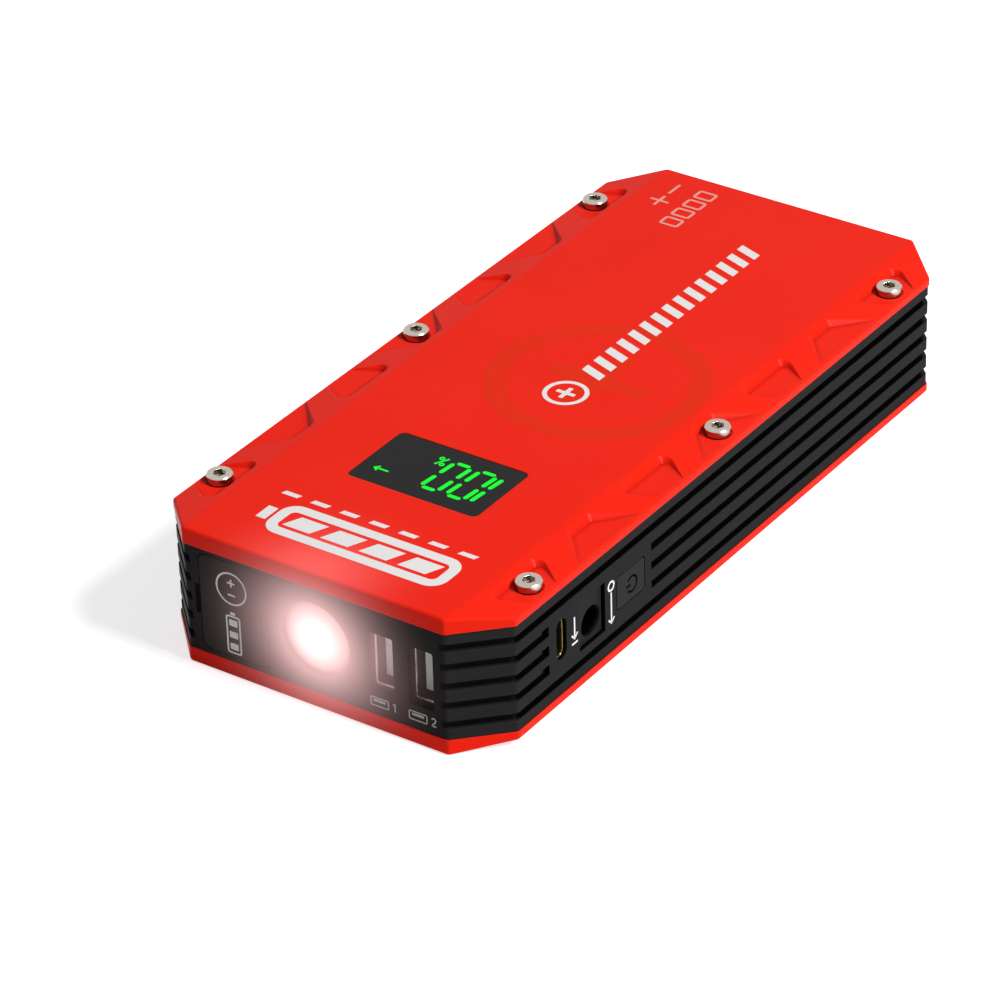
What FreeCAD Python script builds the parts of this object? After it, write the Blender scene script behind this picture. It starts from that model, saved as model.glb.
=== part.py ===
import FreeCAD, Part
import math
import os
import Sketcher
from FreeCAD import Rotation, Vector

# Jump starter pack: two red covers around a finned black frame, with the ports, torch,
# boards, cells and leads that it holds. Millimetres, +Z up, +Y away from the torch end,
# +X towards the power button. The origin is at the middle of the face it stands on.

sizes = {
    # whole pack
    "length": 178.0,
    "width": 83.0,
    "height": 31.7,
    "corner_cut": 10.0,
    "corner_round": 1.2,
    "spare": 3.0,
    "break_through": 1.0,
    # covers
    "cover_height": 3.6,
    "shoulder_drop": 1.65,
    "crease_round": 5.0,
    "rim_round": 0.7,
    "roof": 2.0,
    "hollow_side": 11.5,
    "hollow_end": 6.0,
    "lip_height": 1.4,
    "lip_thick": 1.2,
    "lip_gap": 0.1,
    # truss bays in the shoulders
    "bay_pitch": 22.85,
    "bay_run": 7.0,
    "bay_draft": 0.9,
    "bay_round": 1.1,
    "narrow_rim": 3.83,
    "narrow_root": 7.92,
    "wide_rim": 11.6,
    "wide_root": 3.23,
    # frame
    "frame_inset": 0.25,
    "frame_wall": 3.0,
    "groove_pitch": 4.45,
    "groove_width": 1.85,
    "groove_depth": 1.0,
    "groove_short_end": 67.6,
    "groove_resume": 31.0,
    "boot_length": 2.5,
    "boot_rise": 0.55,
    # screws and inserts
    "screw_side": 37.5,
    "screw_diameter": 3.0,
    "screw_clearance": 3.4,
    "screw_length": 8.0,
    "head_diameter": 5.5,
    "head_height": 2.0,
    "head_chamfer": 0.25,
    "head_sink": 0.2,
    "foot_sink": 0.5,
    "spot_diameter": 6.1,
    "hex_across": 2.5,
    "hex_depth": 1.2,
    "tower_diameter": 6.4,
    "tower_gap": 0.15,
    "insert_diameter": 4.2,
    "insert_length": 5.0,
    "tip_room": 2.0,
    # display
    "window_across": 31.5,
    "window_along": 19.4,
    "window_round": 1.5,
    "window_thick": 1.2,
    "window_sink": 0.1,
    "window_gap": 0.1,
    "window_ledge": 2.0,
    "display_y": 45.6,
    "module_margin": 0.6,
    "module_depth": 3.5,
    "module_face_gap": 0.2,
    "display_board_over": 3.3,
    "display_board_margin": 0.6,
    "display_board_thick": 1.0,
    "stake_diameter": 3.0,
    "stake_gap": 0.3,
    # torch
    "torch_opening": 16.2,
    "torch_bevel": 0.5,
    "lens_flange": 17.4,
    "lens_thick": 1.4,
    "lens_flange_thick": 1.2,
    "lens_gap": 0.1,
    "reflector_depth": 9.5,
    "reflector_wall": 0.8,
    "reflector_throat": 5.4,
    "reflector_rim": 1.2,
    "reflector_shoulder": 2.2,
    "reflector_round": 5.0,
    "torch_tube_wall": 1.3,
    "torch_board_thick": 1.6,
    "emitter_side": 3.4,
    "emitter_base": 0.7,
    "emitter_dome": 1.4,
    # jump socket and its cap
    "socket_x": 19.8,
    "socket_across": 13.0,
    "socket_tall": 20.4,
    "socket_long": 26.0,
    "socket_wall": 1.3,
    "mouth_depth": 8.0,
    "mouth_round": 1.2,
    "mouth_key": 3.4,
    "contact_pitch": 9.6,
    "contact_diameter": 5.6,
    "contact_bore": 3.6,
    "contact_bore_depth": 12.0,
    "contact_tail": 3.5,
    "cap_left": 27.9,
    "cap_right": 11.7,
    "cap_tall": 22.0,
    "cap_thick": 1.6,
    "cap_round": 1.8,
    "cap_gap": 0.3,
    "anchor_width": 1.4,
    "anchor_round": 1.1,
    "plug_gap": 0.9,
    "plug_depth": 1.4,
    "plug_rim": 1.2,
    "plug_round": 0.4,
    "nail_width": 1.1,
    "nail_tall": 7.0,
    "nail_depth": 1.1,
    "peg_diameter": 1.0,
    "peg_pitch": 14.0,
    # USB-A ports
    "usb_a_x": 25.45,
    "usb_a_pitch": 9.5,
    "usb_a_across": 5.7,
    "usb_a_tall": 13.1,
    "usb_a_long": 14.0,
    "usb_a_sheet": 0.35,
    "usb_a_round": 0.7,
    "usb_a_leg": 2.0,
    "usb_a_leg_narrow": 0.6,
    "usb_a_sink": 2.1,
    "usb_a_gap": 0.15,
    "spring_long": 5.0,
    "spring_wide": 2.0,
    "tongue_thick": 1.84,
    "tongue_tall": 11.1,
    "tongue_shift": 1.0,
    "tongue_sink": 2.4,
    "insulator_long": 3.5,
    "leaf_width": 1.2,
    "leaf_thick": 0.2,
    "leaf_pitch": 2.2,
    "leaf_sink": 1.0,
    # USB-C port
    "usb_c_y": 63.3,
    "usb_c_rise": 0.5,
    "usb_c_across": 3.26,
    "usb_c_tall": 8.94,
    "usb_c_sheet": 0.3,
    "usb_c_sink": 0.75,
    "usb_c_gap": 0.18,
    "usb_c_tongue": 0.7,
    "usb_c_tongue_tall": 6.7,
    "usb_c_tongue_sink": 0.8,
    "usb_c_plug": 3.0,
    # round power jack
    "jack_y": 52.4,
    "jack_z": 15.45,
    "jack_across": 9.0,
    "jack_tall": 11.3,
    "jack_gap": 0.1,
    "jack_sink": 0.9,
    "jack_bore": 6.6,
    "jack_bore_y": 51.6,
    "jack_bore_z": 13.8,
    "jack_bore_depth": 8.6,
    "jack_bevel": 0.25,
    "jack_pin": 2.0,
    "jack_pin_round": 0.4,
    "jack_pin_sink": 2.2,
    # button and switch
    "button_y": 38.55,
    "button_across": 9.9,
    "button_tall": 7.3,
    "button_round": 0.6,
    "button_gap": 0.3,
    "button_travel": 0.5,
    "button_flange": 0.8,
    "button_flange_thick": 0.8,
    "button_flange_round": 0.8,
    "stem_diameter": 3.2,
    "plunger_diameter": 3.0,
    "plunger_gap": 0.1,
    "plunger_foot": 1.0,
    "switch_side": 6.2,
    "switch_depth": 3.6,
    "switch_floor": 0.6,
    "plunger_reach": 1.6,
    # boards
    "board_thick": 1.6,
    "board_under": 6.0,
    "board_side": 33.2,
    "board_front": 85.2,
    "board_step": 58.0,
    "board_inner": 11.8,
    "board_nose": 4.0,
    "side_board_face": 30.1,
    "side_board_front": 66.5,
    "side_board_back": 32.5,
    "side_board_top": 24.5,
    "header_y": 50.0,
    "header_side": 2.5,
    "header_pitch": 2.5,
    "header_pin": 0.64,
    "header_pin_reach": 1.2,
    "standoff_diameter": 5.0,
    "board_screw_diameter": 2.0,
    "board_screw_head": 3.8,
    "board_screw_head_height": 1.3,
    "board_screw_length": 5.0,
    "board_screw_margin": 5.0,
    "left_screw_margin": 3.4,
    "left_front_screw": 4.0,
    "left_rear_screw": 4.4,
    "right_rear_margin": 8.0,
    "right_rear_screw": 2.6,
    # parts on the main board
    "transistor_middle": 8.0,
    "transistor_pitch": 8.0,
    "transistor_y": 52.0,
    "transistor_across": 6.6,
    "transistor_long": 6.0,
    "transistor_tall": 2.3,
    "transistor_tab_across": 5.2,
    "transistor_tab_reach": 1.2,
    "transistor_tab_thick": 0.6,
    "choke_x": 8.5,
    "choke_y": 40.0,
    "choke_side": 11.0,
    "choke_tall": 6.5,
    "choke_corner": 1.6,
    "can_x": 19.5,
    "can_y": 40.6,
    "can_pitch": 7.2,
    "can_diameter": 6.3,
    "can_tall": 11.0,
    "chip_x": 3.5,
    "chip_y": 41.0,
    "chip_side": 7.0,
    "chip_thick": 1.0,
    # cells
    "cell_thick": 8.0,
    "cell_side": 33.0,
    "cell_front": 26.0,
    "cell_long": 106.0,
    "cell_round": 2.2,
    "cell_gap": 0.3,
    "foam_thick": 1.5,
    "foam_margin": 4.0,
    "tab_x": 18.0,
    "tab_width": 9.0,
    "tab_thick": 0.4,
    "tab_reach": 2.0,
    "tab_board_side": 29.6,
    "tab_board_top": 26.0,
    "lead_diameter": 4.8,
    "lead_shift": 6.6,
    "lead_straight": 8.0,
    "lead_bend": 10.0,
}

doc = FreeCAD.newDocument("jump_starter")
sheet = doc.addObject("Spreadsheet::Sheet", "Sizes")
for row, (name, number) in enumerate(sizes.items(), start=1):
    sheet.set(f"A{row}", name)
    sheet.set(f"B{row}", str(number))
    sheet.setAlias(f"B{row}", name)
doc.recompute()
nodes = []

# Places that several pieces share, as expressions of the sheet
half_length = "(Sizes.length / 2)"
half_width = "(Sizes.width / 2)"
middle_z = "(Sizes.height / 2)"
front_face = f"({half_length} - Sizes.frame_inset)"
side_face = f"({half_width} - Sizes.frame_inset)"
front_inner = f"({front_face} - Sizes.frame_wall)"
side_inner = f"({side_face} - Sizes.frame_wall)"
half_frame = "(Sizes.height / 2 - Sizes.cover_height)"
screw_y = "(3 * Sizes.bay_pitch)"
seat_z = "(Sizes.height - Sizes.shoulder_drop - Sizes.head_sink)"
board_top = "(Sizes.board_under + Sizes.board_thick)"
tab_board_y = "(Sizes.cell_front + Sizes.tab_reach)"
main_back = f"({tab_board_y} + Sizes.board_thick)"
cap_hinge_x = "(Sizes.cap_right + Sizes.anchor_width)"


# Small tools for bodies, sketches and features

def new_body(label, base=None):
    """A body whose origin sits at the given expressions."""
    body = doc.addObject("PartDesign::Body", label)
    place(body, base)
    nodes.append(body)
    return body


def place(thing, base):
    """Bind the base point of a placement to three expressions."""
    for axis, value in zip("xyz", base or ()):
        thing.setExpression(f".Placement.Base.{axis}", value)


def new_sketch(body, plane, lift="0"):
    """A sketch on an origin plane of its own body, lifted along the plane's normal."""
    face = next(item for item in body.Origin.OriginFeatures if item.Role == plane)
    sketch = body.newObject("Sketcher::SketchObject", body.Name + "_sketch")
    sketch.AttachmentSupport = [(face, "")]
    sketch.MapMode = "FlatFace"
    sketch.setExpression(".AttachmentOffset.Base.z", lift)
    return sketch


def pin_point(sketch, geometry, position, x, y):
    """Hold one point of the sketch at two expressions."""
    for kind, value in (("DistanceX", x), ("DistanceY", y)):
        number = float(sketch.evalExpression(value))
        pinned = sketch.addConstraint(Sketcher.Constraint(kind, -1, 1, geometry, position, number))
        sketch.setExpression(f"Constraints[{pinned}]", value)


def draw_circle(sketch, x, y, radius):
    centre = Vector(float(sketch.evalExpression(x)), float(sketch.evalExpression(y)), 0)
    number = float(sketch.evalExpression(radius))
    circle = sketch.addGeometry(Part.Circle(centre, Vector(0, 0, 1), number), False)
    pin_point(sketch, circle, 3, x, y)
    held = sketch.addConstraint(Sketcher.Constraint("Radius", circle, number))
    sketch.setExpression(f"Constraints[{held}]", radius)


def draw_outline(sketch, corners, closed=True):
    """A closed outline or an open path. A corner is (x, y), or (x, y, radius) where it is
    rounded by an arc that touches both of its sides."""
    count = len(corners)
    points = []
    trims = []
    for corner in corners:
        points.append(Vector(float(sketch.evalExpression(corner[0])),
                             float(sketch.evalExpression(corner[1])), 0))
    for index, corner in enumerate(corners):
        radius = float(sketch.evalExpression(corner[2])) if len(corner) > 2 else 0.0
        before = (points[index - 1] - points[index]).normalize()
        after = (points[(index + 1) % count] - points[index]).normalize()
        half_angle = before.getAngle(after) / 2
        trims.append((radius, radius / math.tan(half_angle), before, after, half_angle))
    sides = []
    for index in range(count if closed else count - 1):
        following = (index + 1) % count
        start = points[index] + trims[index][3] * trims[index][1]
        end = points[following] + trims[following][2] * trims[following][1]
        sides.append(sketch.addGeometry(Part.LineSegment(start, end), False))
    for index, corner in enumerate(corners):
        radius, trim, before, after, half_angle = trims[index]
        if index == len(sides):
            pin_point(sketch, sides[-1], 2, corner[0], corner[1])
            continue
        if len(corner) == 2:
            if closed or index:
                join = Sketcher.Constraint("Coincident", sides[index - 1], 2, sides[index], 1)
                sketch.addConstraint(join)
            pin_point(sketch, sides[index], 1, corner[0], corner[1])
            continue
        inward = (before + after).normalize()
        centre = points[index] + inward * (radius / math.sin(half_angle))
        middle = centre - inward * radius
        start = points[index] + before * trim
        end = points[index] + after * trim
        arc = sketch.addGeometry(Part.Arc(start, middle, end), False)
        turns_left = before.cross(after).z < 0
        tail, head = (1, 2) if turns_left else (2, 1)
        sketch.addConstraint(Sketcher.Constraint("Tangent", sides[index - 1], 2, arc, tail))
        sketch.addConstraint(Sketcher.Constraint("Tangent", arc, head, sides[index], 1))
        held = sketch.addConstraint(Sketcher.Constraint("Radius", arc, radius))
        sketch.setExpression(f"Constraints[{held}]", corner[2])
        apex = sketch.addGeometry(Part.Point(points[index]), True)
        sketch.addConstraint(Sketcher.Constraint("PointOnObject", apex, 1, sides[index - 1]))
        sketch.addConstraint(Sketcher.Constraint("PointOnObject", apex, 1, sides[index]))
        pin_point(sketch, apex, 1, corner[0], corner[1])


def rectangle(x_low, x_high, y_low, y_high, radius=None):
    corners = [(x_low, y_low), (x_high, y_low), (x_high, y_high), (x_low, y_high)]
    return [corner + (radius,) for corner in corners] if radius else corners


def centred(x, y, across, tall, radius=None):
    """A rectangle around a point."""
    return rectangle(f"{x} - ({across}) / 2", f"{x} + ({across}) / 2",
                     f"{y} - ({tall}) / 2", f"{y} + ({tall}) / 2", radius)


def octagon(inset):
    """The plan of the pack, moved inwards by an even inset."""
    run = f"({half_width} - {inset})"
    reach = f"({half_length} - {inset})"
    cut = f"(Sizes.corner_cut - (2 - sqrt(2)) * {inset})"
    return [
        (f"{run} - {cut}", f"-{reach}"), (run, f"-{reach} + {cut}"),
        (run, f"{reach} - {cut}"), (f"{run} - {cut}", reach),
        (f"-{run} + {cut}", reach), (f"-{run}", f"{reach} - {cut}"),
        (f"-{run}", f"-{reach} + {cut}"), (f"-{run} + {cut}", f"-{reach}"),
    ]


def feature(body, kind, sketch, length, both=False, back=False, through=False):
    """A pad or pocket of a sketch, one way or about the sketch's plane."""
    made = body.newObject("PartDesign::" + kind, f"{body.Name}_{kind.lower()}")
    made.Profile = sketch
    if both:
        made.SideType = "Symmetric"
    made.Reversed = back
    if through:
        made.Type = "ThroughAll"
    else:
        made.setExpression("Length", length)
    sketch.Visibility = False
    doc.recompute()
    return made


def pad(body, sketch, length, both=False, back=False):
    return feature(body, "Pad", sketch, length, both, back)


def pocket(body, sketch, length=None, both=False, back=False):
    """A pocket, which must take material away."""
    before = body.Shape.Volume
    made = feature(body, "Pocket", sketch, length, both, back, through=length is None)
    if made.Shape.Volume > before - 0.001:
        raise ValueError(f"{made.Name} cuts nothing")
    return made


def revolve(body, sketch, axis):
    made = body.newObject("PartDesign::Revolution", body.Name + "_revolution")
    made.Profile = sketch
    line = next(item for item in body.Origin.OriginFeatures if item.Role == axis)
    made.ReferenceAxis = (line, [""])
    made.Angle = 360
    doc.recompute()
    return made


def linear(body, axis, length, count, originals=()):
    """A row of copies along one of the body's axes."""
    row = body.newObject("PartDesign::LinearPattern", body.Name + "_row")
    line = next(item for item in body.Origin.OriginFeatures if item.Role == axis)
    row.Direction = (line, [""])
    row.setExpression("Length", length)
    row.Occurrences = count
    if originals:
        row.Originals = list(originals)
        body.Tip = row
        doc.recompute()
    return row


def transform_many(body, originals, steps):
    """Several transformations of the same features, one after another."""
    many = body.newObject("PartDesign::MultiTransform", body.Name + "_many")
    many.Originals = list(originals)
    many.Transformations = steps
    body.Tip = many
    doc.recompute()
    return many


def mirror(body, plane):
    made = body.newObject("PartDesign::Mirrored", body.Name + "_mirror")
    face = next(item for item in body.Origin.OriginFeatures if item.Role == plane)
    made.MirrorPlane = (face, [""])
    return made


def round_edges(body, radius, wanted, kind="Fillet"):
    """Fillet or chamfer the edges of the tip that a test picks."""
    tip = body.Tip
    names = [f"Edge{index}" for index, edge in enumerate(tip.Shape.Edges, start=1) if wanted(edge)]
    if not names:
        raise ValueError(f"{body.Name} has no such edge")
    made = body.newObject("PartDesign::" + kind, f"{body.Name}_{kind.lower()}")
    made.Base = (tip, names)
    made.setExpression("Radius" if kind == "Fillet" else "Size", radius)
    doc.recompute()
    return made


def is_upright(edge):
    start, end = edge.Vertexes[0].Point, edge.Vertexes[-1].Point
    return (end - start).Length > 0.01 and abs((end - start).normalize().z) > 0.999


def box(name, x_span, y_span, z_span):
    """A block between three pairs of expressions."""
    block = doc.addObject("Part::Box", name)
    for size, span in zip(("Length", "Width", "Height"), (x_span, y_span, z_span)):
        block.setExpression(size, f"({span[1]}) - ({span[0]})")
    place(block, (x_span[0], y_span[0], z_span[0]))
    return block


def cylinder(name, base, radius, height, axis="z"):
    """A round bar from a base point along +x, +y or +z."""
    bar = doc.addObject("Part::Cylinder", name)
    bar.setExpression("Radius", radius)
    bar.setExpression("Height", height)
    turns = {"x": Rotation(Vector(0, 1, 0), 90), "y": Rotation(Vector(1, 0, 0), -90)}
    bar.Placement.Rotation = turns.get(axis, Rotation())
    place(bar, base)
    return bar


def combine(kind, name, pieces):
    """A Part fuse, cut or compound as a node of its own."""
    if kind == "Cut":
        made = doc.addObject("Part::Cut", name)
        made.Base, made.Tool = pieces
    elif kind == "Fuse":
        made = doc.addObject("Part::MultiFuse", name)
        made.Shapes = pieces
    else:
        made = doc.addObject("Part::Compound", name)
        made.Links = pieces
    return made


def keep(thing):
    nodes.append(thing)
    return thing


# Covers

def cover_plate(label):
    """The outer form that both covers share: plan, sloped shoulders and rounded rim. Its
    local z runs outwards from the joint with the frame."""
    body = new_body(label)
    section = new_sketch(body, "XZ_Plane")
    crease = f"({half_width} - Sizes.corner_cut)"
    edge = "Sizes.cover_height - Sizes.shoulder_drop"
    draw_outline(section, [
        (f"-{half_width}", "0"), (half_width, "0"), (half_width, edge),
        (crease, "Sizes.cover_height", "Sizes.crease_round"),
        (f"-{crease}", "Sizes.cover_height", "Sizes.crease_round"), (f"-{half_width}", edge),
    ])
    pad(body, section, "Sizes.length", both=True)
    plan = new_sketch(body, "XY_Plane", "Sizes.cover_height")
    draw_outline(plan, centred("0", "0", "Sizes.width + 2 * Sizes.spare",
                               "Sizes.length + 2 * Sizes.spare"))
    draw_outline(plan, octagon("0"))
    pocket(body, plan)
    round_edges(body, "Sizes.corner_round", is_upright)
    round_edges(body, "Sizes.rim_round", is_rim)
    return body


def is_rim(edge):
    """An edge of the outer rim, which runs near the plan's outline above the skirt."""
    middle = edge.valueAt((edge.FirstParameter + edge.LastParameter) / 2)
    x, y = abs(middle.x), abs(middle.y)
    run, reach, cut = sizes["width"] / 2, sizes["length"] / 2, sizes["corner_cut"]
    depth = min(run - x, reach - y, (run + reach - cut - x - y) / math.sqrt(2))
    skirt = sizes["cover_height"] - sizes["shoulder_drop"]
    return depth < 0.5 * sizes["corner_round"] and edge.BoundBox.ZMin > 0.8 * skirt


def cut_bay(body, middle, rim, root):
    """One truss bay: a ruled loft from its floor outline up to a mouth that the wall's
    draft makes wider. It is given by its half width at the rim and at its root."""
    flare = f"(({root} - {rim}) / Sizes.bay_run)"
    spread = "(Sizes.shoulder_drop * Sizes.bay_draft)"
    slant = f"{spread} * sqrt(1 + {flare} ^ 2)"
    outer = f"{half_width} + Sizes.spare"
    at_rim = f"({rim} - {flare} * Sizes.spare)"
    floor = new_sketch(body, "XY_Plane", "Sizes.cover_height - Sizes.shoulder_drop")
    root_x = f"{half_width} - Sizes.bay_run"
    draw_outline(floor, [
        (root_x, f"{middle} - {root}", "Sizes.bay_round"), (outer, f"{middle} - {at_rim}"),
        (outer, f"{middle} + {at_rim}"), (root_x, f"{middle} + {root}", "Sizes.bay_round"),
    ])
    mouth = new_sketch(body, "XY_Plane", "Sizes.cover_height")
    mouth_rim = f"({at_rim} + {slant})"
    mouth_root = f"({root} + {flare} * {spread} + {slant})"
    mouth_x = f"{half_width} - Sizes.bay_run - {spread}"
    mouth_round = f"Sizes.bay_round + {spread}"
    draw_outline(mouth, [
        (mouth_x, f"{middle} - {mouth_root}", mouth_round), (outer, f"{middle} - {mouth_rim}"),
        (outer, f"{middle} + {mouth_rim}"), (mouth_x, f"{middle} + {mouth_root}", mouth_round),
    ])
    cut = body.newObject("PartDesign::SubtractiveLoft", body.Name + "_bay")
    cut.Profile = floor
    cut.Sections = [mouth]
    cut.Ruled = True
    doc.recompute()
    return cut


def cut_truss(body):
    """Seven bays on each shoulder, wide and narrow in turn, which leave a zigzag of ribs."""
    before = body.Shape.Volume
    narrow = cut_bay(body, "(-3 * Sizes.bay_pitch)", "Sizes.narrow_rim", "Sizes.narrow_root")
    narrow_row = linear(body, "Y_Axis", "6 * Sizes.bay_pitch", 4)
    transform_many(body, [narrow], [narrow_row, mirror(body, "YZ_Plane")])
    wide = cut_bay(body, "(-2 * Sizes.bay_pitch)", "Sizes.wide_rim", "Sizes.wide_root")
    wide_row = linear(body, "Y_Axis", "4 * Sizes.bay_pitch", 3)
    transform_many(body, [wide], [wide_row, mirror(body, "YZ_Plane")])
    if body.Shape.Volume > before - 100:
        raise ValueError(f"the bays of {body.Name} are missing")


def hollow_and_lip(body):
    """The recess under the roof, and the lip that centres the cover in the frame."""
    recess = new_sketch(body, "XY_Plane")
    side = f"({half_width} - Sizes.hollow_side)"
    end = f"({half_length} - Sizes.hollow_end)"
    draw_outline(recess, rectangle(f"-{side}", side, f"-{end}", end, "2 * Sizes.corner_round"))
    pocket(body, recess, "Sizes.cover_height - Sizes.roof", back=True)
    lip = new_sketch(body, "XY_Plane")
    outside = "(Sizes.frame_inset + Sizes.frame_wall + Sizes.lip_gap)"
    draw_outline(lip, octagon(outside))
    draw_outline(lip, octagon(f"({outside} + Sizes.lip_thick)"))
    pad(body, lip, "Sizes.lip_height", back=True)
    notches = new_sketch(body, "XY_Plane", "-Sizes.lip_height")
    screw_circles(notches, "Sizes.tower_diameter / 2 + Sizes.tower_gap")
    pocket(body, notches, "Sizes.lip_height", back=True)


def screw_circles(sketch, radius):
    """Circles at the six cover screws."""
    for side in ("", "-"):
        for step in (-1, 0, 1):
            draw_circle(sketch, f"{side}Sizes.screw_side", f"{step} * {screw_y}", radius)


def seat_screws(body, sink):
    """Spot faces in the bays and clearance holes for the six screws."""
    seats = new_sketch(body, "XY_Plane", "Sizes.cover_height - Sizes.shoulder_drop")
    screw_circles(seats, "Sizes.spot_diameter / 2")
    pocket(body, seats, sink)
    holes = new_sketch(body, "XY_Plane", "Sizes.cover_height")
    screw_circles(holes, "Sizes.screw_clearance / 2")
    pocket(body, holes)


def make_top_cover():
    body = cover_plate("top_cover")
    cut_truss(body)
    hollow_and_lip(body)
    seat_screws(body, "Sizes.head_sink")
    display = "(-Sizes.display_y)"
    stakes = new_sketch(body, "XY_Plane", "Sizes.cover_height - Sizes.roof - Sizes.module_depth")
    for side in ("", "-"):
        for end in ("", "-"):
            stake_x = f"{side}(Sizes.window_across / 2 + Sizes.stake_diameter / 2 + Sizes.stake_gap)"
            stake_y = f"{display} + {end}(Sizes.window_along / 2 - Sizes.stake_diameter / 2)"
            draw_circle(stakes, stake_x, stake_y, "Sizes.stake_diameter / 2")
    pad(body, stakes, "Sizes.module_depth + 0.5 * Sizes.roof")
    window = new_sketch(body, "XY_Plane", "Sizes.cover_height")
    draw_outline(window, centred("0", display, "Sizes.window_across + 2 * Sizes.window_gap",
                                 "Sizes.window_along + 2 * Sizes.window_gap", "Sizes.window_round"))
    pocket(body, window, "Sizes.window_sink + Sizes.window_thick")
    opening = new_sketch(body, "XY_Plane", "Sizes.cover_height")
    draw_outline(opening, centred("0", display, "Sizes.window_across - 2 * Sizes.window_ledge",
                                  "Sizes.window_along - 2 * Sizes.window_ledge"))
    pocket(body, opening)
    place(body, ("0", "0", "Sizes.height - Sizes.cover_height"))


def make_bottom_cover():
    """The same shell turned over, with deeper screw seats and four standoffs."""
    body = cover_plate("bottom_cover")
    cut_truss(body)
    hollow_and_lip(body)
    seat_screws(body, "Sizes.foot_sink")
    rise = "(Sizes.board_under - Sizes.cover_height)"
    posts = new_sketch(body, "XY_Plane", f"-{rise}")
    board_circles(posts, "Sizes.standoff_diameter / 2", turned=True)
    pad(body, posts, "Sizes.board_under - 0.5 * Sizes.roof")
    pilots = new_sketch(body, "XY_Plane", f"-{rise}")
    board_circles(pilots, "Sizes.board_screw_diameter / 2", turned=True)
    pocket(body, pilots, "Sizes.board_screw_length - Sizes.board_thick", back=True)
    body.Placement.Rotation = Rotation(Vector(0, 1, 0), 180)
    place(body, ("0", "0", "Sizes.cover_height"))


def board_circles(sketch, radius, turned=False):
    """Circles at the four screws of the main board."""
    sign = "-" if turned else ""
    for x, y in board_screw_places:
        draw_circle(sketch, f"{sign}({x})", y, radius)


board_screw_places = [
    ("Sizes.board_inner + Sizes.board_screw_margin", "-Sizes.board_step - Sizes.board_screw_margin"),
    ("Sizes.board_side - Sizes.right_rear_margin", f"-{main_back} - Sizes.right_rear_screw"),
    ("-Sizes.board_side + Sizes.left_screw_margin", f"-{main_back} - Sizes.left_rear_screw"),
    ("-Sizes.board_side + Sizes.left_screw_margin", "-Sizes.board_step + Sizes.left_front_screw"),
]


# Frame

def groove_band(sketch, right_start):
    """The plan of a groove that runs round both sides and the rear, open at the panel."""
    inset = "(Sizes.frame_inset + Sizes.groove_depth)"
    inner = octagon(inset)
    front_right, side_right, rear_right = inner[0], inner[1], inner[2:]
    beyond_x = f"({half_width} + Sizes.spare)"
    beyond_y = f"({half_length} + Sizes.spare)"
    exit_x = f"({front_right[0]} - Sizes.spare - {inset})"
    if right_start is None:
        start = [(exit_x, f"-{beyond_y}"), side_right]
        last = (beyond_x, f"-{beyond_y}")
    else:
        start = [(f"{half_width} - {inset}", right_start)]
        last = (beyond_x, right_start)
    draw_outline(sketch, start + rear_right[:-1] + [
        (f"-{exit_x}", f"-{beyond_y}"), (f"-{beyond_x}", f"-{beyond_y}"),
        (f"-{beyond_x}", beyond_y), (beyond_x, beyond_y), last,
    ])


def short_groove(sketch):
    """The plan of the stub of a groove between the panel's corner and the small ports."""
    inset = "(Sizes.frame_inset + Sizes.groove_depth)"
    inner = octagon(inset)
    beyond_x = f"({half_width} + Sizes.spare)"
    beyond_y = f"({half_length} + Sizes.spare)"
    draw_outline(sketch, [
        (f"({inner[0][0]} - Sizes.spare - {inset})", f"-{beyond_y}"), inner[1],
        (f"{half_width} - {inset}", "-Sizes.groove_short_end"), (beyond_x, "-Sizes.groove_short_end"),
        (beyond_x, f"-{beyond_y}"),
    ])


def cut_grooves(body):
    """Five grooves: the outer two run on, the middle three stop around the ports."""
    outer = new_sketch(body, "XY_Plane", "-2 * Sizes.groove_pitch")
    groove_band(outer, None)
    outer_cut = pocket(body, outer, "Sizes.groove_width", both=True)
    linear(body, "Z_Axis", "4 * Sizes.groove_pitch", 2, [outer_cut])
    inner = new_sketch(body, "XY_Plane", "-Sizes.groove_pitch")
    groove_band(inner, "-Sizes.groove_resume")
    short_groove(inner)
    inner_cut = pocket(body, inner, "Sizes.groove_width", both=True)
    linear(body, "Z_Axis", "2 * Sizes.groove_pitch", 3, [inner_cut])
    boots = new_sketch(body, "YZ_Plane", side_face)
    for step in (-1, 0, 1):
        low = f"{step} * Sizes.groove_pitch + Sizes.groove_width / 2"
        draw_outline(boots, rectangle("-Sizes.groove_short_end - Sizes.boot_length",
                                      "-Sizes.groove_short_end", low, f"{low} + Sizes.boot_rise"))
    pocket(body, boots, "Sizes.groove_depth")


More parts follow.
